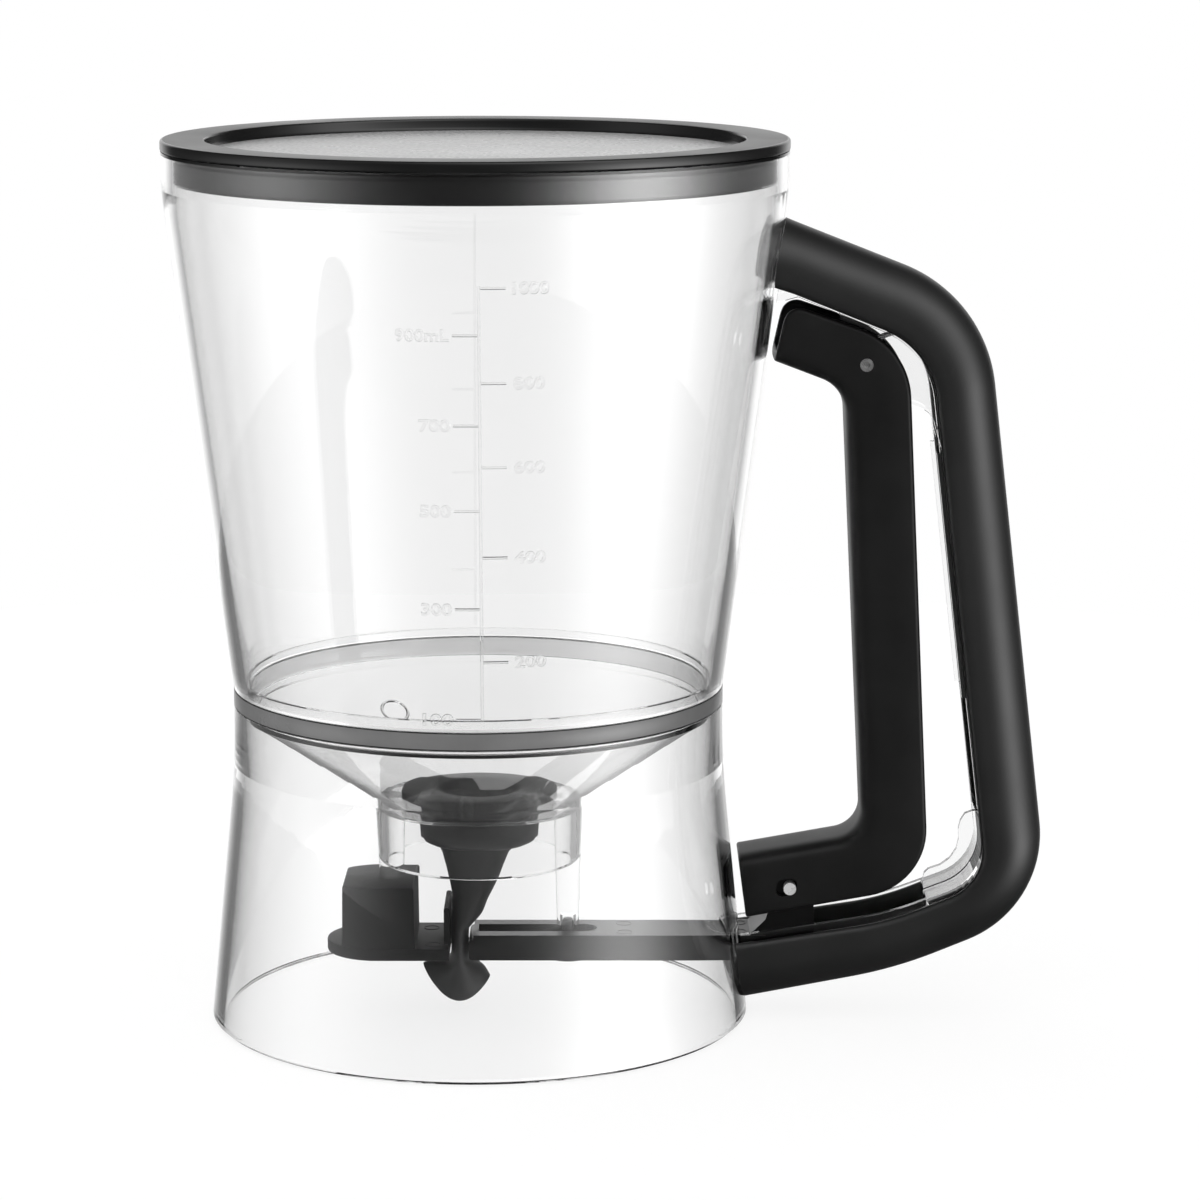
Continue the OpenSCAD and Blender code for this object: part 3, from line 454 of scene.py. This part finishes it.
# ---------------------------------------------------------------- nozzle
NECK_X, NECK_N, NECK_W, NECK_TOP, TIP_Z = -4.35, 2.0, 14.6, 19.5, 1.8
FLANGE = (17.3, 16.4, 0, 0, 16.9)
THROAT = (10.15, 10.15)


def nozzle_ring(z, x, rx, ry, dip=0.0, lean=0.0, flat=99.0, n=72):
    """An ellipse at the height z, cut straight at flat, that dips at its sides and leans along X."""
    turns = [TURN * i / n for i in range(n)]
    return [(x + max(-flat, min(flat, rx * math.cos(a))), ry * math.sin(a),
             z + dip * math.cos(2 * a) - lean * math.cos(a)) for a in turns]


def smooth_rows(rows, n=5):
    """Rows of numbers with n - 1 more between each two, on a curve through them all."""
    curve = []
    for i in range(len(rows) - 1):
        p0, p1, p2, p3 = rows[max(i - 1, 0)], rows[i], rows[i + 1], rows[min(i + 2, len(rows) - 1)]
        for k in range(n):
            t = k / n
            curve.append([0.5 * (2 * b + (c - a) * t + (2 * a - 5 * b + 4 * c - d) * t * t
                                 + (3 * b - a - 3 * c + d) * t ** 3) for a, b, c, d in zip(p0, p1, p2, p3)])
    return curve + [rows[-1]]


# Each row holds what nozzle_ring takes
flanges = [(OUTLET_Z + 2.0, 0, 9.5, 9.5), (OUTLET_Z + 2.0, 0, 16.7, 15.8, 0, 0, 16.3),
           (OUTLET_Z + 1.8, 0, 17.1, 16.2, 0, 0, 16.7), (OUTLET_Z + 1.4, 0, *FLANGE),
           (OUTLET_Z + GAP, 0, *FLANGE), (OUTLET_Z + GAP, 0, *THROAT),
           (KEEPER_Z - GAP, 0, *THROAT), (KEEPER_Z - GAP, 0, 12.8, 12.8),
           (KEEPER_Z - 0.4, 0, 13.0, 13.0), (KEEPER_Z - 4.6, 0, 12.7, 12.7), (KEEPER_Z - 5.7, 0, 12.0, 12.0),
           (KEEPER_Z - 6.3, 0, 10.8, 10.8), (KEEPER_Z - 6.5, -0.3, 9.2, 9.2)]
outside = [(37.8, -0.6, 8.2, 8.2, 0, 0), (34.5, -0.95, 6.9, 7.6, 0, 0), (29.5, -1.3, 5.4, 7.2, 0, 0),
           (JAW_TOP + 1.8, -1.8, 4.3, NECK_W / 2 - 0.2, 0, 0),
           (JAW_TOP + 0.2, -2.2, 3.9, NECK_W / 2 - 0.1, 0, 0),
           (21.9, -2.75, 3.35, NECK_W / 2, 0, 0), (NECK_TOP, -3.9, 2.4, NECK_W / 2, 0, 0),
           (NECK_TOP - 1.3, NECK_X, NECK_N, NECK_W / 2, 0, 0),
           (BAR_Z + 0.4, NECK_X, NECK_N, NECK_W / 2, 0, 0),
           (BAR_Z - 1.4, NECK_X, NECK_N + 1, NECK_W / 2 - 0.2, 0, 0),
           (TIP_Z + 7.0, NECK_X - 0.2, NECK_N + 3.4, NECK_W / 2 - 0.6, 1.4, 0.8),
           (TIP_Z + 4.3, NECK_X - 0.8, 7.3, 6.4, 2.6, 1.4)]
inside = [(TIP_Z + 4.5, NECK_X - 0.8, 6.1, 5.2, 2.6, 1.4),
          (TIP_Z + 7.3, NECK_X - 0.2, NECK_N + 1.9, 5.1, 1.4, 0.8),
          (BAR_Z - 1.2, NECK_X, 0.9, 5.5, 0, 0), (BAR_Z + 1.2, NECK_X, 0.25, 5.5, 0, 0),
          (NECK_TOP - 1.3, NECK_X, 0.25, 5.5, 0, 0), (NECK_TOP, -3.9, 0.5, 5.5, 0, 0),
          (21.9, -2.75, 1.5, 5.5, 0, 0), (JAW_TOP + 0.2, -2.2, 2.2, 5.4, 0, 0),
          (JAW_TOP + 1.8, -1.8, 2.6, 5.3, 0, 0), (29.5, -1.3, 3.8, 5.4, 0, 0), (34.5, -0.95, 5.4, 6, 0, 0),
          (OUTLET_Z - 4, 0, 7.2, 7.2, 0, 0), (OUTLET_Z + 1.7, 0, 9.0, 9.0, 0, 0)]
tip_z, tip_x, tip_rx, tip_ry, *tip_bend = outside[-1]
tip_edge = [(tip_z - 0.25, tip_x, tip_rx - d, tip_ry - d, *tip_bend) for d in (0.25, 0.95)]
rows = flanges + smooth_rows(outside) + tip_edge + smooth_rows(inside)
nozzle = mesh_piece("nozzle_silicone", *loft([nozzle_ring(*row) for row in rows], closed_path=True),
                    None, silicone, 50)
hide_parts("nozzle")
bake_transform(nozzle)


# ---------------------------------------------------------------- return spring
COIL_R, WIRE_R, COIL_HALF, COILS, COIL_STEPS = 4.0, 0.6, 2.9, 3, 32
FIRST_DEG, LEAVE_DEG, LEG = 110.0, 197.0, 12.0


def on_leg(degrees, t, y):
    """The point t along the leg that leaves the coil at an angle."""
    a = math.radians(degrees)
    return (PIVOT.x + COIL_R * math.cos(a) - t * math.sin(a), y,
            PIVOT.y + COIL_R * math.sin(a) + t * math.cos(a))


sweep = 360 * COILS + LEAVE_DEG - FIRST_DEG
n = int(sweep / 360 * COIL_STEPS)
line = [on_leg(FIRST_DEG, -LEG * t, -COIL_HALF) for t in (1, 0.66, 0.33)]
line += [on_leg(FIRST_DEG + sweep * i / n, 0, COIL_HALF * (2 * i / n - 1)) for i in range(n + 1)]
line += [on_leg(LEAVE_DEG, LEG * t, COIL_HALF) for t in (0.25, 0.5, 0.75, 1)]
spring = mesh_piece("return_spring_wire", *tube(line, WIRE_R), None, steel, 60)
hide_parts("return_spring")
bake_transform(spring)


# ---------------------------------------------------------------- lid
LID_Z, LID_TOP, DECK_Z, PLUG_Z = 187.65, 189.95, 187.35, 181.05
PLUG_R, LID_R = 62.25, 65.95
SHELL, RIM, DECK, BEAD_PAINTED_SHEEN = range(4)

lid_edge = quarter(LID_R, LID_Z + 0.45, 0.45, -90)[1:] + quarter(LID_R - 0.15, LID_TOP - 0.6, 0.6, 0)
lid_lip = quarter(57.6, LID_TOP - 0.6, 0.6, 90)
# The bead at the plug's root takes ring_grey: a painted highlight on the black lid.
profile, kinds = by_kind([
    ([(0, 185.55), (58.8, 185.55), (58.8, 188.05), (60.45, 188.05), (60.45, PLUG_Z), (61.85, PLUG_Z),
      (PLUG_R, PLUG_Z + 0.4)], SHELL),
    ([(PLUG_R, 186.7), (62.75, 187.3)], BEAD_PAINTED_SHEEN),
    ([(63.0, LID_Z), (LID_R, LID_Z)] + lid_edge[:-1], SHELL),
    (lid_edge[-1:] + lid_lip[:2], RIM),
    (lid_lip[2:] + [(56.85, DECK_Z + 0.7), (56.7, DECK_Z + 0.3)], SHELL),
    ([(56.35, DECK_Z), (40, DECK_Z), (20, DECK_Z)], DECK),
    ([(0, DECK_Z)], SHELL)])
lid = mesh_piece("lid_shell", *lathe(profile), "lid", [gloss, rim_painted_sheen, deck, ring_grey], 30, kinds)
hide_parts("lid")


# ---------------------------------------------------------------- ring at the waist
SLEEVE_R, SLEEVE_TOP, SKIRT_H = 50.5, 75.2, 68.9
PAINTED_LIGHT, GREY, PAINTED_SHADE = range(3)

# One grey ring with painted light and shade: its top, bottom and inner faces painted near white, its corner faces
# near black; the outer face keeps the ring's grey.
profile, kinds = by_kind([
    ([(SLEEVE_R + GAP, SKIRT_H + GAP), (WAIST_R - 0.3, SKIRT_H + GAP)], PAINTED_LIGHT),
    ([(WAIST_R - 0.08, SKIRT_H + 0.15)], PAINTED_SHADE),
    ([(WAIST_R, SKIRT_H + 0.4)], GREY),
    ([(WAIST_R, WAIST_Z - 0.4)], PAINTED_SHADE),
    ([(WAIST_R - 0.08, WAIST_Z - 0.15), (WAIST_R - 0.3, WAIST_Z - GAP), (SLEEVE_R + GAP, WAIST_Z - GAP)],
     PAINTED_LIGHT)])
ring = mesh_piece("waist_band", *lathe(profile), "jug", [ring_painted_light, ring_grey, ring_painted_shade], 30, kinds)
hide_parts("waist_ring")


# ---------------------------------------------------------------- funnel, its posts and gate mark
OUTLET_R, LIP_R, CONE_R, BORE_R, WALL_R = 10.2, 21.0, 48.6, 48.9, 49.5
PLATE_T, BOSS_R, CONE_TOP, CONE_DROP = 1.25, 12.4, 67.5, 1.18
COLLAR_R, COLLAR_T, COLLAR_END = 21.7, 1.8, 34.1
cone_slope = (CONE_TOP - OUTLET_Z) / (CONE_R - LIP_R)
sleeve_top_r, sleeve_low_r = inside_hopper(SLEEVE_TOP), inside_hopper(WAIST_Z)
plate_low = OUTLET_Z - PLATE_T


def on_cone(r, drop=0.0):
    """The point of the cone's inside at the radius r, or drop below it."""
    return r, OUTLET_Z + (r - LIP_R) * cone_slope - drop


# The cone has a point close to each end, so that its smooth shading bends no light between them
profile = [(OUTLET_R, OUTLET_Z), (LIP_R - 0.3, OUTLET_Z), (LIP_R, OUTLET_Z + 0.02), on_cone(LIP_R + 0.3),
           on_cone(LIP_R + 0.6), on_cone(CONE_R - 0.3), (CONE_R, CONE_TOP), (BORE_R, CONE_TOP + 0.4),
           (BORE_R, WAIST_Z - 1.0), (sleeve_top_r - 1.0, SLEEVE_TOP - 0.2), (sleeve_top_r - 0.8, SLEEVE_TOP),
           (sleeve_top_r - 0.3, SLEEVE_TOP), (sleeve_top_r - 0.1, SLEEVE_TOP - 0.2),
           (sleeve_low_r - 0.1, WAIST_Z - GAP), (SLEEVE_R, WAIST_Z - GAP), (SLEEVE_R, SKIRT_H + GAP),
           (WALL_R, SKIRT_H + GAP), on_cone(WALL_R, CONE_DROP), on_cone(WALL_R - 0.4, CONE_DROP),
           on_cone(COLLAR_R + 0.8, CONE_DROP), on_cone(COLLAR_R + 0.4, CONE_DROP),
           (COLLAR_R, on_cone(COLLAR_R, CONE_DROP)[1] - 0.3), (COLLAR_R, COLLAR_END + 0.3),
           (COLLAR_R - 0.3, COLLAR_END), (COLLAR_R - COLLAR_T + 0.3, COLLAR_END),
           (COLLAR_R - COLLAR_T, COLLAR_END + 0.3), (COLLAR_R - COLLAR_T, plate_low),
           (BOSS_R + 0.2, plate_low), (BOSS_R, plate_low - 0.2), (BOSS_R, KEEPER_Z), (OUTLET_R, KEEPER_Z)]
funnel = mesh_piece("funnel_shell", *lathe(profile), "jug", clear_funnel, 25)
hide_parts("funnel")

post_top = plate_low - 0.02
for name, x, z in (("funnel_post_block", -POST_X, PLATE_TOP + GAP), ("funnel_post_guide", POST_X, BAR_Z - 0.25)):
    profile = [(0, z + 9), (1.25, z + 9), (1.25, z + 0.15), (1.4, z), (2.05, z), (2.2, z + 0.15),
               (3.1, post_top), (0, post_top)]
    post = mesh_piece(name, *lathe_at(profile, x, 0), "jug", clear_funnel, 25)

# The round mark that the mould's gate leaves on the cone
GATE_R, GATE_STEPS = 3.1, 48
GATE_SECTION = ((-0.35, -0.05), (-0.15, 0.3), (0.15, 0.3), (0.35, -0.05))
gate_at = Vector((-20, 32, 0))
outward = unit(gate_at)
gate_at.z = on_cone(gate_at.length)[1]
cone_angle = math.atan(cone_slope)
round_way = Vector((-outward.y, outward.x, 0))
up_way = outward * math.cos(cone_angle) + Vector((0, 0, math.sin(cone_angle)))
off_way = up_way.cross(round_way)
gate_rings = []
for t in [TURN * i / GATE_STEPS for i in range(GATE_STEPS)]:
    spoke = round_way * math.cos(t) + up_way * math.sin(t)
    gate_rings.append([gate_at + spoke * (GATE_R + d) + off_way * h for d, h in GATE_SECTION])
gate = mesh_piece("funnel_gate_mark", *loft(gate_rings, closed_path=True), "jug", clear_marks, 40)


# ---------------------------------------------------------------- pinch block, and pin marks on the bar
PLATE_END, PLATE_R, JAW_X, JAW_T, BLOCK_TOP = -21.9, 11.4, -6.4, 1.2, 29.6
TOWER_LEFT, TOWER_RIGHT = -29.6, -13.8


def plan(left, right, r, d, z, n=32):
    """Ring at the height z: a strip with a round end between left and right, set in by d."""
    left, right, r = left + d, right - d, r - d
    first = math.acos(max(-1.0, (left - PLATE_END) / r))
    arc = [math.pi / 2 + (first - math.pi / 2) * i / n for i in range(n + 1)]
    half = [(right, r, z)] + [(PLATE_END + r * math.cos(t), r * math.sin(t), z) for t in arc]
    return half + [(x, -y, z) for x, y, z in half[::-1]]


def pin_mark(x, y, z, r=1.6):
    """The faint ring that an ejector pin leaves on a flat top."""
    ring = [(r - 0.14, z - 0.05), (r - 0.08, z + 0.07), (r + 0.08, z + 0.07), (r + 0.14, z - 0.05)]
    return lathe_at(ring, x, y)


plate = [plan(PLATE_END - PLATE_R, JAW_X, PLATE_R, d, z) for d, z in
         ((0.4, PLATE_Z), (0.12, PLATE_Z + 0.12), (0, PLATE_Z + 0.4), (0, PLATE_TOP - 0.35),
          (0.1, PLATE_TOP - 0.1), (0.35, PLATE_TOP))]
tower = [plan(TOWER_LEFT, TOWER_RIGHT, PLATE_R - 0.4, d, z) for d, z in
         ((-0.15, PLATE_TOP - 0.3), (0, PLATE_TOP + 0.2), (0.15, BLOCK_TOP - 0.6), (0.3, BLOCK_TOP - 0.2),
          (0.6, BLOCK_TOP))]
jaw = [(JAW_X - JAW_T, PLATE_TOP - 0.3), (JAW_X, PLATE_TOP - 0.3), (JAW_X, JAW_TOP - 0.4),
       (JAW_X - 0.12, JAW_TOP - 0.12), (JAW_X - 0.4, JAW_TOP), (JAW_X - JAW_T + 0.4, JAW_TOP),
       (JAW_X - JAW_T + 0.12, JAW_TOP - 0.12), (JAW_X - JAW_T, JAW_TOP - 0.4)]
parts = [loft(plate), loft(tower), prism(jaw, NECK_W / 2 + 0.4)]
parts += [pin_mark(x, y, PLATE_TOP) for x, y in ((-10.8, 6.6), (-10.0, -7.4))]
block = mesh_piece("pinch_block_moulding", *joined(parts), "jug", black_block_shaded, 35)
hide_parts("pinch_block")

parts = [pin_mark(x, y, BAR_TOP) for x in (31.5, 56.5) for y in (3.6, -3.6)]
marks = mesh_piece("slide_bar_pin_marks", *joined(parts), "bar", black_shaded_inside, 35)


# ---------------------------------------------------------------- washer and screw on the right post
WASHER_Z, WASHER_T, WASHER_R, WASHER_HOLE_R = BAR_Z - 0.35, 0.4, 4.95, 1.35
HEAD_Z, HEAD_R, SHANK_R, SHANK_TOP = WASHER_Z - 0.45, 2.7, 1.2, 20.5
CROSS_HALF, CROSS_ARM, CROSS_TOP = 0.3, 1.4, HEAD_Z - 0.25


def drive_slot(half_x, half_y):
    """Cutter for one bar of the cross in the screw's head, from below."""
    left, right, low = POST_X - half_x, POST_X + half_x, HEAD_Z - 1
    outline = [(left, low), (right, low), (right, CROSS_TOP), (left, CROSS_TOP)]
    return mesh_piece("drive", *prism(outline, half_y), None, dark_steel)


profile = [(WASHER_HOLE_R, WASHER_Z), (WASHER_R - 0.15, WASHER_Z), (WASHER_R, WASHER_Z - 0.1),
           (WASHER_R, WASHER_Z - 0.3), (WASHER_R - 0.15, WASHER_Z - WASHER_T),
           (WASHER_HOLE_R, WASHER_Z - WASHER_T)]
washer = mesh_piece("guide_washer_thin", *lathe_at(profile, POST_X, 0, 64), "jug", dark_steel, 30)
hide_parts("guide_washer")
profile = [(0, SHANK_TOP), (1.0, SHANK_TOP - 0.2), (SHANK_R, SHANK_TOP - 0.9), (SHANK_R, HEAD_Z),
           (HEAD_R - 0.1, HEAD_Z), (HEAD_R, HEAD_Z - 0.1), (HEAD_R - 0.2, HEAD_Z - 0.45), (1.8, HEAD_Z - 0.7),
           (0, HEAD_Z - 0.8)]
head = mesh_piece("guide_screw_flat", *lathe_at(profile, POST_X, 0), None, dark_steel, 30)
cut(head, [drive_slot(CROSS_ARM, CROSS_HALF), drive_slot(CROSS_HALF, CROSS_ARM)], 30)
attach(head, "jug")
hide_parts("guide_screw")


# ---------------------------------------------------------------- measuring scale on the hopper
RIB_X, RIB_W, RIB_LOW, RIB_HIGH, RIB_STEPS = 2.3, 0.7, 75.4, 165.4, 30
TICK, TICK_W, TICK_STEPS, TEXT_H = 5.0, 0.55, 3, 2.6
MARK_H, FAINT, SUNK = 0.28, 0.05, 0.06
MARKS = {1000: 165.0, 900: 155.5, 800: 145.8, 700: 137.2, 600: 128.6, 500: 119.6, 400: 109.9, 300: 99.1,
         200: 87.9, 100: 75.7}


def on_hopper(x, z, above, back=False):
    """The point of the hopper's outside at x and z, or above it, on its front or its back."""
    r = hopper_at(z) + above
    y = -math.sqrt(r * r - x * x)
    return (-x, -y, z) if back else (x, y, z)


def ridge(start, end, width, back=False, steps=1, height=MARK_H):
    """A low rib on the hopper between two [x, z] points."""
    a, b = Vector(start), Vector(end)
    side = Vector((-(b - a).y, (b - a).x)).normalized() * (width / 2)
    rings = []
    for i in range(steps + 1):
        p = a.lerp(b, i / steps)
        section = [(p - side, -SUNK), (p - side, height * 0.4), (p - side * 0.5, height),
                   (p + side * 0.5, height), (p + side, height * 0.4), (p + side, -SUNK)]
        rings.append([on_hopper(q.x, q.y, above, back) for q, above in section])
    return loft(rings)


def lettering(text, x, z, width, height):
    """Raised text on the hopper's front: its middle at height z, from x on, width wide."""
    curve = bpy.data.curves.new("text", "FONT")
    curve.body, curve.resolution_u, curve.extrude, curve.bevel_depth = text, 3, 0.04, 0.036
    curve.offset = -0.008
    carrier = bpy.data.objects.new("text", curve)
    bpy.context.scene.collection.objects.link(carrier)
    mesh = bpy.data.meshes.new_from_object(carrier.evaluated_get(bpy.context.evaluated_depsgraph_get()))
    co = [v.co.copy() for v in mesh.vertices]
    low = [min(c[i] for c in co) for i in range(3)]
    high = [max(c[i] for c in co) for i in range(3)]
    points = [on_hopper(x + (c.x - low[0]) / (high[0] - low[0]) * width,
                        z + ((c.y - low[1]) / (high[1] - low[1]) - 0.5) * height,
                        (c.z - low[2]) / (high[2] - low[2]) * (MARK_H + SUNK) - SUNK) for c in co]
    faces = [tuple(p.vertices) for p in mesh.polygons]
    bpy.data.objects.remove(carrier)
    bpy.data.curves.remove(curve)
    bpy.data.meshes.remove(mesh)
    return points, faces


parts = [ridge((RIB_X, RIB_LOW), (RIB_X, RIB_HIGH), RIB_W, steps=RIB_STEPS)]
for amount, z in MARKS.items():
    even = amount % 200 == 0
    side = 1 if even else -1
    parts.append(ridge((RIB_X + side * RIB_W / 2, z), (RIB_X + side * (RIB_W / 2 + TICK), z), TICK_W,
                       steps=TICK_STEPS))
    text = "900mL" if amount == 900 else str(amount)
    width = {1000: 7.2, 900: 10.8}.get(amount, 6.3)
    parts.append(lettering(text, RIB_X + 6.7 if even else RIB_X - 5.9 - width, z, width, TEXT_H))
# The fainter lines of a second scale, on the back of the hopper
parts.append(ridge((RIB_X, RIB_LOW), (RIB_X, RIB_HIGH), RIB_W, True, RIB_STEPS, FAINT))
for z in list(MARKS.values())[::2]:
    parts.append(ridge((RIB_X + RIB_W / 2, z), (RIB_X + RIB_W / 2 + TICK, z), TICK_W, True, TICK_STEPS, FAINT))
scale = mesh_piece("measuring_scale", *joined(parts), "jug", clear_marks, 25)


# ---------------------------------------------------------------- studio
scene = bpy.context.scene
scene.view_settings.view_transform = "Standard"
scene.cycles.max_bounces = 24
scene.cycles.transmission_bounces = 24
scene.cycles.glossy_bounces = 12
scene.cycles.blur_glossy = 0.0
scene.cycles.transparent_max_bounces = 24

world = bpy.data.worlds.new("studio")
scene.world = world
world.use_nodes = True
wt = world.node_tree


def maths(operation, first, second):
    """A maths node of two values, each a socket or a number."""
    node = add(wt, "ShaderNodeMath", operation=operation)
    feed(wt, first, node.inputs[0])
    feed(wt, second, node.inputs[1])
    return node.outputs[0]


def ramped(value, low, high, to_low, to_high):
    """The value as a soft step, from to_low at low to to_high at high."""
    node = add(wt, "ShaderNodeMapRange", {"From Min": low, "From Max": high, "To Min": to_low, "To Max": to_high},
               interpolation_type="SMOOTHSTEP")
    wt.links.new(value, node.inputs["Value"])
    return node.outputs["Result"]


def chosen(by, when_none, when_some):
    """when_none where the depth by is 0, and when_some above."""
    node = add(wt, "ShaderNodeMix", data_type="FLOAT")
    feed(wt, maths("GREATER_THAN", by, 0.5), node.inputs["Factor"])
    feed(wt, when_none, node.inputs["A"])
    feed(wt, when_some, node.inputs["B"])
    return node.outputs["Result"]


direction = add(wt, "ShaderNodeTexCoord").outputs["Generated"]
axes = add(wt, "ShaderNodeSeparateXYZ")
wt.links.new(direction, axes.inputs[0])
level = add(wt, "ShaderNodeCombineXYZ")
wt.links.new(axes.outputs["X"], level.inputs["X"])
wt.links.new(axes.outputs["Y"], level.inputs["Y"])
azimuth = add(wt, "ShaderNodeVectorMath", operation="NORMALIZE")
wt.links.new(level.outputs[0], azimuth.inputs[0])
ahead, upward = axes.outputs["Y"], axes.outputs["Z"]


def glow(of, degrees, elevation, width_degrees, radiance):
    """A soft light round an azimuth, counted from the front towards +X, and an elevation."""
    a, e = math.radians(degrees), math.radians(elevation)
    dot = add(wt, "ShaderNodeVectorMath", operation="DOT_PRODUCT")
    wt.links.new(of, dot.inputs[0])
    dot.inputs[1].default_value = (math.sin(a) * math.cos(e), -math.cos(a) * math.cos(e), math.sin(e))
    falloff = maths("MULTIPLY", maths("SUBTRACT", dot.outputs["Value"], 1.0), math.radians(width_degrees) ** -2)
    return maths("MULTIPLY", maths("EXPONENT", falloff, 0.0), radiance)


def softbox(degrees, width_degrees, radiance):
    """A tall light, as strong at every elevation."""
    return glow(azimuth.outputs[0], degrees, 0, width_degrees, radiance)


boxes = maths("ADD", softbox(64, 18, 6.5), softbox(-73, 20, 1.7))
boxes = maths("MULTIPLY", boxes, ramped(upward, -0.13, 0.0, 1.0, 0.35))
boxes = maths("MULTIPLY", boxes, ramped(upward, 0.55, 0.9, 1.0, 0.0))
boxes = maths("MULTIPLY", boxes, ramped(upward, -0.55, -0.25, 0.0, 1.0))
boxes = maths("ADD", boxes, glow(direction, 28, 52, 21, 2.4))
backdrop = maths("MULTIPLY", ramped(ahead, 0.80, 0.97, 0.0, 1.0), ramped(upward, 0.30, 0.55, 1.0, 0.3))
front = ramped(ahead, -0.2, 0.2, 0.07, 0.05)
mirrored = maths("ADD", maths("ADD", boxes, backdrop), front)
# Light that has gone through a clear wall and been mirrored comes from a paler room
inside_walls = maths("ADD", mirrored, ramped(ahead, -0.6, 0.0, 0.0, 0.42))
inside_walls = maths("ADD", inside_walls, ramped(upward, -0.7, -0.35, 0.8, 0.0))
path = add(wt, "ShaderNodeLightPath")
gloss_light = chosen(path.outputs["Transmission Depth"], mirrored, inside_walls)
background = wt.nodes["Background"]
background.inputs["Color"].default_value = (1, 1, 1, 1)
wt.links.new(chosen(path.outputs["Glossy Depth"], 1.0, gloss_light), background.inputs["Strength"])

# A white floor that glows less where light was mirrored on its way
FLOOR_R_M, FLOOR_DROP_M, FLOOR_N = 0.5, 0.0002, 96
GLOW, MIRRORED_GLOW = 0.86, 0.10
floor_mesh = bpy.data.meshes.new("floor")
floor_mesh.from_pydata([(FLOOR_R_M * math.cos(TURN * i / FLOOR_N), FLOOR_R_M * math.sin(TURN * i / FLOOR_N), 0)
                        for i in range(FLOOR_N)], [], [tuple(range(FLOOR_N))])
floor = bpy.data.objects.new("floor", floor_mesh)
scene.collection.objects.link(floor)
floor.location.z = -FLOOR_DROP_M
floor.visible_glossy = False
mat, tree, bsdf = new_material("floor_white")
bsdf.inputs["Base Color"].default_value = (0.16, 0.16, 0.16, 1)
bsdf.inputs["Roughness"].default_value = 1.0
bsdf.inputs["Specular IOR Level"].default_value = 0.0
bsdf.inputs["Emission Color"].default_value = (1, 1, 1, 1)
floor_path = add(tree, "ShaderNodeLightPath")
tree.links.new(spread(tree, floor_path.outputs["Glossy Depth"], GLOW, MIRRORED_GLOW, 0.0, 1.0),
               bsdf.inputs["Emission Strength"])
floor_mesh.materials.append(mat)

camera = bpy.data.cameras.new("camera")
camera.sensor_width, camera.lens = 36.0, 124.16
cam = bpy.data.objects.new("camera", camera)
scene.collection.objects.link(cam)
cam.location = (0.02621, -0.87582, 0.25403)
cam.rotation_euler = (math.radians(79.433), 0, 0)
scene.camera = cam
